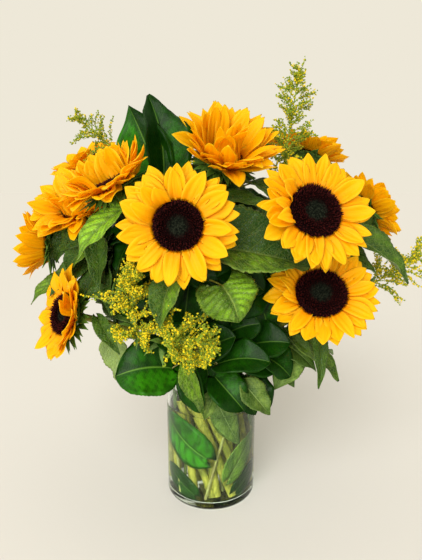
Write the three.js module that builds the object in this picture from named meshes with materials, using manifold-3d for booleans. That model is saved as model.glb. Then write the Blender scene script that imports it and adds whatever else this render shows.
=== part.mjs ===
// Sunflowers in a glass vase: twelve blooms, goldenrod and leafy branches that stand in water.
// Millimetres, +Z up. The origin is the middle of the vase's underside and -Y is the front.
import * as THREE from 'three';
import { mergeVertices } from 'three/addons/utils/BufferGeometryUtils.js';
import Module from 'manifold-3d';

const wasm = await Module();
wasm.setup();

// Vase and water
const vaseRadius = 60;
const vaseHeight = 180;
const wallThickness = 3.5;
const floorThickness = 9;
const heelRadius = 6;
const vaseSides = 28;
const waterLevel = 128;
const fitGap = 0.35;

// Stem bundle: every stem leans alike round the axis, so no two cross below the waist
const waistHeight = 165;
const footHeight = 14;
const lean = 0.0045;
const stemFootRadius = 5.5;
const stemNeckRadius = 4.4;
const branchRadius = 2.1;
const goldenrodRadius = 1.7;

// Bloom parts, measured along the bloom's own axis from the plane of the petal roots
const collarWidth = 4;
const collarDepth = 3.2;
const discGap = 0.5;
const discDepth = 2.7;
const receptacleTop = -3.55;
const receptacleDepth = 16;
const petalHalfWidth = 7.4;
const petalThickness = 1.2;
const layerStep = 1.5;
const bractLength = 26;
const bractHalfWidth = 5.2;

// Outlines of blades: fraction of the length, fraction of the half width
const petalOutline = [[0.36, 0.98], [0.76, 0.82], [1, 0]];
const bractOutline = [[0.4, 1], [1, 0]];
const broadOutline = [[0, 0.18], [0.13, 0.78], [0.36, 1], [0.62, 0.8], [0.84, 0.4], [1, 0]];
const lanceOutline = [[0, 0.3], [0.45, 1], [1, 0]];

const petalYellow = 0xf7b511;
const discBrown = 0x2c1410;
const sunflowerGreen = 0x6f9a35;
const collarGreen = 0x1f5a22;
const oliveGreen = 0x5f7f38;
const goldenrodGreen = 0x7c9a3c;
const goldenrodYellow = 0xd9c02a;

const point = (x, y, z) => new THREE.Vector3(x, y, z);
const radians = THREE.MathUtils.degToRad;

// Repeatable random numbers from 0 to 1
function randomSource(seed) {
  let state = seed >>> 0;
  return () => {
    state = (Math.imul(1664525, state) + 1013904223) >>> 0;
    return state / 4294967296;
  };
}

// Closed body through a row of rings with equal point counts. A ring of one point is a tip.
// Diagonals alternate round the ring, so both faces of a thin blade are split alike.
function loft(rings) {
  const positions = [];
  const triangles = [];
  const starts = rings.map((ring) => {
    const start = positions.length / 3;
    ring.forEach((p) => positions.push(p.x, p.y, p.z));
    return start;
  });
  const count = Math.max(...rings.map((ring) => ring.length));
  for (let k = 0; k + 1 < rings.length; k += 1) {
    for (let i = 0; i < count; i += 1) {
      const next = (i + 1) % count;
      const a = starts[k] + i;
      const b = starts[k] + next;
      const c = starts[k + 1] + next;
      const d = starts[k + 1] + i;
      if (rings[k + 1].length === 1) {
        triangles.push(a, b, starts[k + 1]);
      } else if (i % 2) {
        triangles.push(a, b, d, b, c, d);
      } else {
        triangles.push(a, b, c, a, c, d);
      }
    }
  }
  for (let i = 1; i + 1 < count; i += 1) {
    triangles.push(0, i + 1, i);
    if (rings.at(-1).length > 1) {
      const last = starts.at(-1);
      triangles.push(last, last + i, last + i + 1);
    }
  }
  const geometry = new THREE.BufferGeometry();
  geometry.setAttribute('position', new THREE.Float32BufferAttribute(positions, 3));
  geometry.setIndex(triangles);
  return geometry;
}

// Six times the signed volume is negative where the faces point inward
function facesOutward(geometry) {
  const position = geometry.attributes.position;
  const index = geometry.index;
  const corners = [point(), point(), point()];
  let volume = 0;
  for (let i = 0; i < index.count; i += 3) {
    corners.forEach((corner, n) => corner.fromBufferAttribute(position, index.getX(i + n)));
    volume += corners[0].dot(corners[1].cross(corners[2]));
  }
  return volume > 0;
}

function toSolid(geometry) {
  const plain = geometry.clone();
  plain.deleteAttribute('normal');
  plain.deleteAttribute('uv');
  const merged = mergeVertices(plain, 1e-4);
  const order = facesOutward(merged) ? [0, 1, 2] : [0, 2, 1];
  const triangles = new Uint32Array(merged.index.count);
  for (let i = 0; i < triangles.length; i += 3) {
    order.forEach((from, n) => {
      triangles[i + n] = merged.index.getX(i + from);
    });
  }
  return new wasm.Manifold(new wasm.Mesh({
    numProp: 3,
    vertProperties: new Float32Array(merged.attributes.position.array),
    triVerts: triangles,
  }));
}

function toGeometry(solid) {
  const mesh = solid.getMesh();
  const geometry = new THREE.BufferGeometry();
  geometry.setAttribute('position', new THREE.BufferAttribute(mesh.vertProperties, 3));
  geometry.setIndex(new THREE.BufferAttribute(mesh.triVerts, 1));
  geometry.computeVertexNormals();
  return geometry;
}

function fuse(geometries) {
  return geometries.map(toSolid).reduce((whole, piece) => whole.add(piece));
}

// Round bar through a row of points, thinning from one radius to the other
function tube(points, startRadius, endRadius, sides) {
  const side = point(1, 0, 0);
  const rings = points.map((middle, k) => {
    const before = points[Math.max(k - 1, 0)];
    const after = points[Math.min(k + 1, points.length - 1)];
    const along = after.clone().sub(before).normalize();
    side.addScaledVector(along, -side.dot(along)).normalize();
    const other = along.clone().cross(side);
    const radius = THREE.MathUtils.lerp(startRadius, endRadius, k / (points.length - 1));
    return Array.from({ length: sides }, (_, i) => {
      const angle = (i / sides) * Math.PI * 2;
      return middle.clone()
        .addScaledVector(side, radius * Math.cos(angle))
        .addScaledVector(other, radius * Math.sin(angle));
    });
  });
  return loft(rings);
}

// Thin blade from base to tip: arched along its length, folded up along the rib, rippled at the
// edges. grow thickens it all round, for the hollow that it fills in the water.
function blade({
  base, tip, up, halfWidth, outline, thickness = 1.2,
  arch = 0, fold = 0, wave = 0, teeth = 0, grow = 0,
}) {
  const along = tip.clone().sub(base);
  const length = along.length();
  along.normalize();
  const side = along.clone().cross(up).normalize();
  const face = side.clone().cross(along);
  const rings = outline.map(([t, width], k) => {
    const middle = base.clone()
      .addScaledVector(along, length * t + grow * Math.sign(t - 0.5))
      .addScaledVector(face, arch * length * 4 * t * (1 - t));
    if (width === 0) {
      return [middle];
    }
    const reach = halfWidth * width * (k % 2 ? 1 + teeth : 1 - teeth) + grow;
    const ripple = wave * Math.sin(k * 2.2);
    const half = thickness / 2 + grow * 1.5;
    const off = (across, above) => (
      middle.clone().addScaledVector(side, across).addScaledVector(face, above)
    );
    const left = off(-reach, fold * reach + ripple);
    const right = off(reach, fold * reach - ripple);
    return [left, off(0, half), right, off(0, -half)];
  });
  return loft(rings);
}

// Closed body made facet by facet, from which petals or bracts rise without a seam
class Shell {
  positions = [];

  triangles = [];

  vertex(p) {
    this.positions.push(p.x, p.y, p.z);
    return this.positions.length / 3 - 1;
  }

  ring(count, radius, height) {
    return Array.from({ length: count }, (_, i) => {
      const angle = (i / count) * Math.PI * 2;
      return this.vertex(point(radius * Math.cos(angle), radius * Math.sin(angle), height));
    });
  }

  quad(a, b, c, d) {
    this.triangles.push(a, b, c, a, c, d);
  }

  // Blade out of the facet a, b, c, d, whose corners run round it as seen from outside. Its rows
  // are a left edge, two upper ridges and a right edge, and it ends in a tip.
  rise(facet, { base, along, up, length, halfWidth, outline, thickness, arch, twist }) {
    const side = along.clone().cross(up).normalize();
    let corners = facet;
    outline.forEach(([t, width]) => {
      const turnedSide = side.clone().applyAxisAngle(along, twist * t);
      const turnedFace = up.clone().applyAxisAngle(along, twist * t);
      const middle = base.clone()
        .addScaledVector(along, length * t)
        .addScaledVector(up, arch * length * 4 * t * (1 - t));
      const [a, b, c, d] = corners;
      if (width === 0) {
        const tip = this.vertex(middle);
        this.triangles.push(a, b, tip, b, c, tip, c, d, tip, d, a, tip);
        return;
      }
      const reach = halfWidth * width;
      const off = (across, above) => this.vertex(
        middle.clone().addScaledVector(turnedSide, across).addScaledVector(turnedFace, above),
      );
      const ridge = reach * 0.45;
      const next = [off(reach, 0), off(-reach, 0), off(-ridge, thickness), off(ridge, thickness)];
      this.quad(a, b, next[1], next[0]);
      this.quad(b, c, next[2], next[1]);
      this.triangles.push(c, d, next[2], d, next[3], next[2]);
      this.quad(d, a, next[0], next[3]);
      corners = next;
    });
  }

  geometry() {
    const geometry = new THREE.BufferGeometry();
    geometry.setAttribute('position', new THREE.Float32BufferAttribute(this.positions, 3));
    geometry.setIndex(this.triangles);
    geometry.computeVertexNormals();
    return geometry;
  }
}

// Stem from its foot in the water, leaning through the waist, then bending to arrive along facing
function stemCurve({
  waist: [waistRadius, waistAngle], head, facing, slant, rise = 0.42, neck = 0.3,
}) {
  const angle = radians(waistAngle);
  const waist = point(waistRadius * Math.cos(angle), waistRadius * Math.sin(angle), waistHeight);
  const slope = slant ? point(...slant) : point(lean * waist.y, -lean * waist.x, 1);
  const foot = waist.clone().addScaledVector(slope, footHeight - waistHeight);
  const span = waist.distanceTo(head);
  const bend = new THREE.CubicBezierCurve3(
    waist,
    waist.clone().addScaledVector(slope.clone().normalize(), span * rise),
    head.clone().addScaledVector(facing, -span * neck),
    head,
  );
  const atHeight = (height) => waist.clone().addScaledVector(slope, height - waistHeight);
  return { foot, waist, bend, atHeight };
}

// Leaf on its stalk, from a place on the stem: at is a fraction of the bend, or a height below it
function leafOn(curve, leaf, grow = 0) {
  const root = leaf.height ? curve.atHeight(leaf.height) : curve.bend.getPoint(leaf.at);
  const base = point(...leaf.base);
  const tip = point(...leaf.tip);
  const inside = tip.clone().sub(base).setLength(2).add(base);
  const sag = root.clone().lerp(base, 0.5).add(point(0, 0, leaf.sag ?? 4));
  const stalk = new THREE.QuadraticBezierCurve3(root, sag, inside).getPoints(leaf.steps ?? 2);
  return [
    tube(stalk, 1.7 + grow, 1.3 + grow, 3),
    blade({
      outline: broadOutline, fold: 0.18, arch: 0.08, wave: 1.2, teeth: 0.05,
      ...leaf, base, tip, up: point(...leaf.up), grow,
    }),
  ];
}

const blooms = [
  {
    name: 'front', head: [-32, -150, 377], facing: [-0.02, -0.99, 0.1], radius: 61, disc: 25,
    cup: 4, inner: 12, petals: 11, sides: 18, seed: 11, waist: [35, -78], roll: 8,
    leaves: [
      { at: 0.6, base: [-37, -112, 326], tip: [-53, -136, 273], up: [-0.3, -0.85, 0.4], halfWidth: 18 },
      { at: 0.52, base: [1, -118, 312], tip: [57, -112, 302], up: [0.05, -0.75, 0.66], halfWidth: 27 },
    ],
  },
  {
    name: 'right_upper', head: [107, -120, 390], facing: [0.23, -0.87, 0.435], radius: 65, disc: 29,
    cup: 4, inner: 12, petals: 11, sides: 18, seed: 23, waist: [35, -42], roll: 0,
    leaves: [
      {
        at: 0.62, base: [12, -94, 350], tip: [109, -92, 332], up: [0.02, -0.72, 0.69],
        halfWidth: 37, fold: 0.25,
      },
    ],
  },
  {
    name: 'right_lower', head: [122, -95, 299], facing: [-0.06, -0.79, 0.61], radius: 63, disc: 29,
    cup: 2, inner: 12, petals: 11, sides: 18, seed: 37, waist: [35, -8], roll: 14, neck: 0.4,
    leaves: [
      { at: 0.5, base: [92, -38, 232], tip: [160, -48, 180], up: [0.4, -0.5, 0.75], halfWidth: 20 },
      { at: 0.62, base: [128, -62, 246], tip: [126, -86, 185], up: [0.1, -0.9, 0.3], halfWidth: 9 },
    ],
  },
  {
    name: 'left_upper', head: [-162, -17, 394], facing: [-0.35, -0.58, 0.74], radius: 68, disc: 25,
    cup: 6, inner: 34, petals: 10, sides: 14, seed: 41, waist: [35, -152], roll: 6, rise: 0.55,
    leaves: [
      { at: 0.7, base: [-130, -40, 346], tip: [-128, -78, 300], up: [-0.2, -0.9, 0.3], halfWidth: 13 },
    ],
  },
  {
    name: 'left_high', head: [-105, -88, 417], facing: [-0.42, -0.16, 0.89], radius: 64, disc: 24,
    cup: 42, inner: 14, sway: 45, swayTurn: 150, petals: 10, sides: 14, seed: 53, waist: [14, -130],
    roll: 0,
    leaves: [
      { at: 0.74, base: [-92, -112, 384], tip: [-136, -124, 343], up: [-0.3, -0.6, 0.7], halfWidth: 17 },
    ],
  },
  {
    name: 'far_left', head: [-213, 10, 341], facing: [-0.96, -0.08, 0.1], radius: 60, disc: 22,
    cup: 46, inner: 14, petals: 8, sides: 10, seed: 67, waist: [35, 172], roll: 0, rise: 0.3,
    leaves: [
      { at: 0.8, base: [-180, 0, 310], tip: [-234, -8, 268], up: [-0.5, -0.7, 0.5], halfWidth: 12 },
    ],
  },
  {
    name: 'left_lower', head: [-176, -60, 265], facing: [-0.66, -0.68, 0.3], radius: 60, disc: 25,
    cup: 12, inner: 12, sway: 22, swayTurn: 0, petals: 9, sides: 14, seed: 71, waist: [35, -115],
    roll: 10, rise: 0.2, neck: 0.4,
    leaves: [
      { at: 0.72, base: [-134, -66, 262], tip: [-104, -92, 229], up: [-0.2, -0.6, 0.8], halfWidth: 10 },
      { at: 0.6, base: [-120, -62, 232], tip: [-94, -80, 182], up: [-0.5, -0.8, 0.3], halfWidth: 18 },
    ],
  },
  {
    name: 'top', head: [15, -50, 447], facing: [0.2, -0.6, 0.78], radius: 73, disc: 21,
    cup: 36, inner: 26, sway: 10, swayTurn: 100, petals: 11, sides: 10, seed: 83, waist: [14, -10],
    roll: 0,
    leaves: [
      { at: 0.8, base: [14, -62, 402], tip: [66, -82, 386], up: [0.2, -0.6, 0.8], halfWidth: 14 },
    ],
  },
  {
    name: 'top_back', head: [46, 100, 472], facing: [0.1, 0.5, 0.85], radius: 54, disc: 22,
    cup: 24, inner: 12, petals: 8, sides: 10, seed: 97, waist: [14, 110], roll: 0,
    leaves: [
      { at: 0.75, base: [34, 96, 412], tip: [26, 142, 366], up: [0, 0.8, 0.5], halfWidth: 22 },
    ],
  },
  {
    name: 'right_back', head: [133, 72, 456], facing: [0.3, 0.3, 0.9], radius: 56, disc: 23,
    cup: 16, inner: 12, petals: 9, sides: 10, seed: 101, waist: [35, 62], roll: 0,
    leaves: [
      { at: 0.7, base: [118, 92, 376], tip: [150, 140, 326], up: [0.4, 0.7, 0.5], halfWidth: 22 },
    ],
  },
  {
    name: 'right_far', head: [198, 18, 385], facing: [0.75, 0.32, 0.55], radius: 58, disc: 24,
    cup: 8, inner: 12, petals: 9, sides: 10, seed: 113, waist: [35, 27], roll: 0,
    leaves: [
      { at: 0.72, base: [168, -40, 356], tip: [230, -66, 308], up: [0.4, -0.6, 0.75], halfWidth: 22 },
    ],
  },
  {
    name: 'left_back', head: [-177, 73, 448], facing: [-0.42, -0.34, 0.84], radius: 52, disc: 22,
    cup: 14, inner: 12, petals: 8, sides: 10, seed: 127, waist: [35, 135], roll: 0,
    leaves: [
      { at: 0.6, base: [-112, 92, 336], tip: [-148, 132, 286], up: [-0.4, 0.8, 0.4], halfWidth: 22 },
    ],
  },
];

// Leafy branches: a bare woody stem with broad leaves near its end
const branches = [
  {
    name: 'collar_front', colour: collarGreen, teeth: 0,
    waist: [24.5, -98], tip: [-14, -92, 236], facing: [0, -0.5, 0.8],
    leaves: [
      { at: 0.75, base: [-44, -84, 206], tip: [-108, -104, 208], up: [-0.2, -0.84, 0.48], halfWidth: 34 },
      { at: 0.6, base: [-28, -90, 212], tip: [-12, -104, 163], up: [-0.2, -0.9, 0.2], halfWidth: 15 },
      { at: 0.9, base: [6, -92, 214], tip: [66, -112, 228], up: [0.1, -0.66, 0.75], halfWidth: 22 },
    ],
  },
  {
    name: 'collar_right', colour: collarGreen, teeth: 0,
    waist: [50.5, -50], tip: [48, -70, 214], facing: [0.3, -0.5, 0.8],
    slant: [0.262, 0.084, 1],
    leaves: [
      { at: 0.6, base: [4, -84, 196], tip: [38, -106, 166], up: [0.2, -0.8, 0.5], halfWidth: 22 },
      { at: 0.7, base: [42, -70, 192], tip: [68, -88, 158], up: [0.4, -0.8, 0.4], halfWidth: 18 },
      { at: 0.9, base: [56, -64, 216], tip: [94, -80, 196], up: [0.4, -0.6, 0.7], halfWidth: 24 },
    ],
  },
  {
    name: 'collar_side', colour: oliveGreen, teeth: 0.05,
    waist: [42.5, -24], tip: [96, -30, 214], facing: [0.7, -0.2, 0.6],
    leaves: [
      { at: 0.8, base: [104, -48, 216], tip: [76, -70, 176], up: [0.2, -0.8, 0.5], halfWidth: 19 },
      { at: 0.9, base: [104, -18, 214], tip: [164, 0, 196], up: [0.2, 0, 1], halfWidth: 20 },
    ],
  },
  {
    name: 'upright_leaf', colour: collarGreen, teeth: 0,
    waist: [24, -160], tip: [-54, -52, 392], facing: [-0.1, 0, 1], rise: 0.6,
    leaves: [
      {
        at: 0.97, base: [-51, -47, 404], tip: [-64, -34, 518], up: [-0.2, -1, 0],
        halfWidth: 31, fold: 0.4,
      },
    ],
  },
  {
    name: 'collar_left', colour: oliveGreen, teeth: 0.05,
    waist: [42.5, -172], tip: [-96, 6, 232], facing: [-0.8, 0, 0.6],
    leaves: [
      { at: 0.8, base: [-92, -4, 240], tip: [-142, -14, 296], up: [-0.6, -0.6, 0.4], halfWidth: 22 },
      { at: 0.9, base: [-104, 16, 232], tip: [-160, 40, 226], up: [-0.2, 0, 1], halfWidth: 22 },
    ],
  },
  {
    name: 'back_right', colour: collarGreen, teeth: 0,
    waist: [42.5, 80], tip: [52, 92, 262], facing: [0.3, 0.6, 0.7],
    leaves: [
      { at: 0.6, base: [40, 82, 216], tip: [70, 136, 196], up: [0.3, 0.5, 0.8], halfWidth: 26 },
      { at: 0.8, base: [74, 84, 246], tip: [132, 118, 256], up: [0.2, 0.6, 0.8], halfWidth: 26 },
      { at: 0.95, base: [40, 104, 280], tip: [10, 142, 320], up: [0.1, 0.9, 0.3], halfWidth: 24 },
    ],
  },
  {
    name: 'back_left', colour: collarGreen, teeth: 0,
    waist: [42.5, 118], tip: [-40, 92, 250], facing: [-0.3, 0.6, 0.7],
    leaves: [
      { at: 0.6, base: [-30, 82, 206], tip: [-50, 134, 180], up: [-0.3, 0.5, 0.8], halfWidth: 26 },
      { at: 0.85, base: [-60, 86, 238], tip: [-114, 116, 240], up: [-0.2, 0.6, 0.8], halfWidth: 26 },
      { at: 0.95, base: [-44, 104, 270], tip: [-66, 146, 316], up: [-0.2, 0.9, 0.3], halfWidth: 24 },
    ],
  },
];

// Goldenrod: the plume runs from root to tip and its side twigs reach out by spread
const goldenrods = [
  {
    name: 'front_left', waist: [24.5, -128],
    root: [-84, -100, 262], control: [-84, -112, 296], tip: [-84, -118, 334],
    spread: 40, twigs: 11, seed: 5, rise: 0.6,
  },
  {
    name: 'front', waist: [24.5, -112],
    root: [-54, -104, 244], control: [-36, -124, 256], tip: [2, -132, 250],
    spread: 42, twigs: 12, seed: 9, rise: 0.8, neck: 0.12,
  },
  {
    name: 'tall', waist: [26, 10],
    root: [90, 8, 412], control: [95, 4, 478], tip: [107, 0, 552],
    spread: 50, twigs: 12, seed: 15,
  },
  {
    name: 'top_left', waist: [26, 175],
    root: [-122, 24, 456], control: [-142, 26, 478], tip: [-174, 28, 502],
    spread: 24, twigs: 8, seed: 21,
  },
  {
    name: 'right', waist: [42.5, 9],
    root: [198, -20, 290], control: [228, -12, 304], tip: [274, -4, 334],
    spread: 38, twigs: 10, seed: 27,
  },
  {
    name: 'back', waist: [42.5, 98],
    root: [-20, 118, 372], control: [-26, 134, 408], tip: [-32, 150, 452],
    spread: 30, twigs: 8, seed: 33,
  },
];

// Leaves left on the stems under water, pressed flat against the glass
const sunken = {
  left_lower: {
    height: 92, base: [-8, -50.5, 80], tip: [-44, -28, 120], up: [-0.52, -0.86, 0], halfWidth: 17,
    arch: 0.07, fold: -0.17, wave: 0, sag: 0, steps: 1,
  },
  front: {
    height: 50, base: [20, -48, 64], tip: [47, -22, 108], up: [0.66, -0.75, 0], halfWidth: 12,
    arch: 0.05, fold: -0.12, wave: 0, sag: 0, steps: 1,
  },
};

const vaseInnerRadius = vaseRadius - wallThickness;

function vaseGeometry() {
  const profile = new THREE.Path();
  const rim = wallThickness / 2;
  profile.moveTo(0, 0);
  profile.lineTo(vaseRadius - heelRadius, 0);
  profile.absarc(vaseRadius - heelRadius, heelRadius, heelRadius, -Math.PI / 2, 0, false);
  profile.lineTo(vaseRadius, vaseHeight - rim);
  profile.absarc(vaseRadius - rim, vaseHeight - rim, rim, 0, Math.PI, false);
  profile.lineTo(vaseInnerRadius, floorThickness);
  profile.lineTo(0, floorThickness);
  const points = profile.getPoints(1);
  return new THREE.LatheGeometry(points, vaseSides).rotateX(Math.PI / 2);
}

function waterSolid(holes) {
  const radius = vaseInnerRadius - fitGap;
  const bottom = floorThickness + fitGap;
  const profile = [[0, bottom], [radius, bottom], [radius, waterLevel], [0, waterLevel]];
  const body = new THREE.LatheGeometry(profile.map((p) => new THREE.Vector2(...p)), vaseSides);
  const full = toSolid(body.rotateX(Math.PI / 2));
  return holes.reduce((rest, hole) => rest.subtract(toSolid(hole)), full);
}

// Hole for a straight stem, from just under its foot to above the water
function stemHole(curve, footRadius, waistRadius, sides) {
  const share = (waterLevel + 4 - footHeight) / (waistHeight - footHeight);
  const clear = fitGap * 1.6;
  const ends = [curve.atHeight(footHeight - clear), curve.atHeight(waterLevel + 4)];
  const topRadius = THREE.MathUtils.lerp(footRadius, waistRadius, share);
  return tube(ends, footRadius + clear, topRadius + clear, sides);
}

// Unit vectors of a petal that stands at turn and tilt degrees: outward, along it and up from it
function petalAxes(turn, tilt) {
  const out = point(Math.cos(radians(turn)), Math.sin(radians(turn)), 0);
  const along = out.clone().multiplyScalar(Math.cos(radians(tilt)));
  along.z = Math.sin(radians(tilt));
  const up = out.clone().multiplyScalar(-Math.sin(radians(tilt)));
  up.z = Math.cos(radians(tilt));
  return { out, along, up };
}

// Ring of tapering petals in two layers on a yellow collar, in the bloom's own frame
function raysGeometry(bloom) {
  const random = randomSource(bloom.seed);
  const columns = bloom.petals * 2;
  const inner = bloom.disc + discGap;
  const outer = inner + collarWidth;
  const heights = [-collarDepth, -collarDepth + layerStep, -collarDepth + 2 * layerStep];
  const shell = new Shell();
  const innerRing = shell.ring(columns, inner, -collarDepth);
  const outerRings = heights.map((height) => shell.ring(columns, outer, height));
  for (let j = 0; j < columns; j += 1) {
    const next = (j + 1) % columns;
    shell.quad(innerRing[j], innerRing[next], outerRings[0][next], outerRings[0][j]);
    shell.quad(outerRings[2][j], outerRings[2][next], innerRing[next], innerRing[j]);
    const layer = j % 2;
    const facets = [0, 1].map((row) => [
      outerRings[row][j], outerRings[row][next], outerRings[row + 1][next], outerRings[row + 1][j],
    ]);
    shell.quad(...facets[1 - layer]);
    const turn = ((j + 0.5) / columns) * 360 + (random() - 0.5) * 5;
    const sway = (bloom.sway ?? 0) * Math.cos(radians(turn - (bloom.swayTurn ?? 0)));
    const tilt = bloom.cup + layer * bloom.inner + sway + (random() - 0.5) * 5;
    const length = (bloom.radius - outer) * (0.92 + random() * 0.14) * (layer ? 0.96 : 1.04);
    const arch = -0.02 + random() * 0.07;
    const twist = (random() - 0.5) * 0.4;
    const { out, along, up } = petalAxes(turn, tilt);
    const base = out.multiplyScalar(outer);
    base.z = heights[layer] + 0.3;
    shell.rise(facets[layer], {
      base, along, up, length, halfWidth: petalHalfWidth, outline: petalOutline,
      thickness: petalThickness, arch, twist,
    });
  }
  return shell.geometry();
}

// Seed disc as relief: a raised ring of florets round a dished middle
function discGeometry(bloom) {
  const levels = [[0.36, 1.4, 0], [0.63, 3.6, 1], [0.88, 3.2, 1]];
  const rings = levels.map(([share, height, relief]) => (
    Array.from({ length: bloom.sides }, (_, i) => {
      const angle = (i / bloom.sides) * Math.PI * 2;
      const bump = (i % 2 ? 0.5 : -0.5) * relief;
      const radius = bloom.disc * share + bump;
      return point(radius * Math.sin(angle), -radius * Math.cos(angle), height + bump);
    })
  ));
  const rim = Array.from({ length: bloom.sides }, (_, i) => {
    const angle = (i / bloom.sides) * Math.PI * 2;
    return point(bloom.disc * Math.sin(angle), -bloom.disc * Math.cos(angle), -discDepth);
  });
  const geometry = loft([rim, ...rings.reverse(), [point(0, 0, 1.8)]]);
  return toGeometry(toSolid(geometry));
}

// Where a bloom stands: its own axis turned to the way it faces, rolled by roll degrees
function bloomPlace(bloom) {
  const facing = point(...bloom.facing).normalize();
  const side = point(0, 0, 1).cross(facing).normalize();
  const other = facing.clone().cross(side);
  const turn = new THREE.Matrix4().makeBasis(side, other, facing);
  turn.multiply(new THREE.Matrix4().makeRotationZ(radians(bloom.roll)));
  turn.setPosition(point(...bloom.head));
  return turn;
}

// Green cup behind the petals, with a ring of pointed bracts, in the bloom's own frame
function cupGeometry(bloom) {
  const random = randomSource(bloom.seed + 500);
  const columns = bloom.petals * 2 - 2;
  const shell = new Shell();
  const top = shell.vertex(point(0, 0, receptacleTop));
  const bottom = shell.vertex(point(0, 0, -receptacleDepth));
  const upper = shell.ring(columns, bloom.disc + 3, receptacleTop);
  const lower = shell.ring(columns, bloom.disc - 1, receptacleTop - 5);
  for (let j = 0; j < columns; j += 1) {
    const next = (j + 1) % columns;
    shell.triangles.push(top, upper[j], upper[next], bottom, lower[next], lower[j]);
    const facet = [lower[j], lower[next], upper[next], upper[j]];
    if (j % 2) {
      shell.quad(...facet);
    } else {
      const turn = ((j + 0.5) / columns) * 360 + (random() - 0.5) * 8;
      const sway = (bloom.sway ?? 0) * Math.cos(radians(turn - (bloom.swayTurn ?? 0)));
      const tilt = Math.min(bloom.cup + sway, 24) - 14 - random() * 5;
      const length = bractLength * (0.9 + random() * 0.3);
      const { out, along, up } = petalAxes(turn, tilt);
      const base = out.multiplyScalar(bloom.disc + 1);
      base.z = receptacleTop - 3.4;
      shell.rise(facet, {
        base, along, up, length, halfWidth: bractHalfWidth, outline: bractOutline, thickness: 1.2,
        arch: -0.03, twist: 0,
      });
    }
  }
  return shell.geometry();
}

// Thick hairy stem, the cup that carries the bloom, and the stem's own leaves
function bloomStemSolid(bloom, curve) {
  const cup = cupGeometry(bloom).applyMatrix4(bloomPlace(bloom));
  const path = [curve.foot, ...curve.bend.getPoints(6)];
  const pieces = [cup, tube(path, stemFootRadius, stemNeckRadius, 5)];
  const leaves = [...bloom.leaves, ...(sunken[bloom.name] ? [sunken[bloom.name]] : [])];
  leaves.forEach((leaf) => pieces.push(...leafOn(curve, leaf)));
  return fuse(pieces);
}

// Yellow plume: side twigs beaded with small flower heads round a slim rachis
function plumeSolid(spray) {
  const random = randomSource(spray.seed);
  const rachis = new THREE.QuadraticBezierCurve3(
    point(...spray.root), point(...spray.control), point(...spray.tip),
  );
  const pieces = [tube(rachis.getPoints(3), 1.6, 0.9, 3)];
  for (let i = 0; i < spray.twigs; i += 1) {
    const share = (i + 0.5) / spray.twigs;
    const start = rachis.getPoint(share * 0.94);
    const along = rachis.getTangent(share);
    const side = along.clone().cross(point(0.3, 1, 0.2)).normalize();
    side.applyAxisAngle(along, i * 2.4 + random() * 0.5);
    const reach = spray.spread * (1.08 - 0.72 * share) * (0.85 + random() * 0.3);
    const end = start.clone().addScaledVector(side, reach * 0.86).addScaledVector(along, reach * 0.6);
    const middle = start.clone()
      .addScaledVector(side, reach * 0.36)
      .addScaledVector(along, reach * 0.42);
    const twig = new THREE.QuadraticBezierCurve3(start, middle, end);
    const beads = [1, 2.9, 1.8];
    const steps = beads.length;
    const across = side.clone().cross(along);
    const rings = beads.map((radius, k) => {
      const at = twig.getPoint(k / steps);
      const out = twig.getTangent(k / steps);
      const lift = across.clone().cross(out).normalize();
      return [0, 1, 2].map((n) => at.clone()
        .addScaledVector(across, radius * Math.cos((n * Math.PI * 2) / 3))
        .addScaledVector(lift, radius * Math.sin((n * Math.PI * 2) / 3)));
    });
    pieces.push(loft([...rings, [end]]));
  }
  return fuse(pieces);
}

// Slim green goldenrod stem with narrow leaves, ending just below the plume
function goldenrodStem(spray, curve) {
  const random = randomSource(spray.seed + 900);
  const pieces = [tube([curve.foot, ...curve.bend.getPoints(6)], goldenrodRadius, 1.3, 4)];
  for (let i = 0; i < 2; i += 1) {
    const share = 0.64 + i * 0.13;
    const start = curve.bend.getPoint(share);
    const along = curve.bend.getTangent(share);
    const side = along.clone().cross(point(0.3, 1, 0.2)).normalize();
    side.applyAxisAngle(along, i * 2.4 + random());
    const tip = start.clone().addScaledVector(side, 20).addScaledVector(along, 20);
    pieces.push(blade({
      base: start, tip, up: along.clone().sub(side), halfWidth: 3.4, outline: lanceOutline,
    }));
  }
  return fuse(pieces);
}

const group = new THREE.Group();
const holes = [];

function addMesh(parent, name, geometry, material) {
  const mesh = new THREE.Mesh(geometry, new THREE.MeshStandardMaterial(material));
  mesh.name = name;
  parent.add(mesh);
}

blooms.forEach((bloom) => {
  const facing = point(...bloom.facing).normalize();
  const neckPoint = point(...bloom.head).addScaledVector(facing, receptacleTop - 8);
  const curve = stemCurve({ ...bloom, head: neckPoint, facing });
  holes.push(stemHole(curve, stemFootRadius, stemFootRadius, 5));
  if (sunken[bloom.name]) {
    holes.push(...leafOn(curve, sunken[bloom.name], fitGap * 4));
  }
  const place = new THREE.Group();
  place.applyMatrix4(bloomPlace(bloom));
  group.add(place);
  addMesh(place, `${bloom.name}_rays`, raysGeometry(bloom), { color: petalYellow, roughness: 0.6 });
  addMesh(place, `${bloom.name}_disc`, discGeometry(bloom), { color: discBrown, roughness: 0.95 });
  addMesh(group, `${bloom.name}_stem`, toGeometry(bloomStemSolid(bloom, curve)), {
    color: sunflowerGreen, roughness: 0.7,
  });
});

branches.forEach((branch) => {
  const facing = point(...branch.facing).normalize();
  const curve = stemCurve({ ...branch, head: point(...branch.tip), facing });
  const pieces = [tube([curve.foot, ...curve.bend.getPoints(5)], branchRadius, 1.5, 4)];
  branch.leaves.forEach((leaf) => pieces.push(...leafOn(curve, { teeth: branch.teeth, ...leaf })));
  holes.push(stemHole(curve, branchRadius, branchRadius, 4));
  addMesh(group, branch.name, toGeometry(fuse(pieces)), { color: branch.colour, roughness: 0.45 });
});

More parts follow.
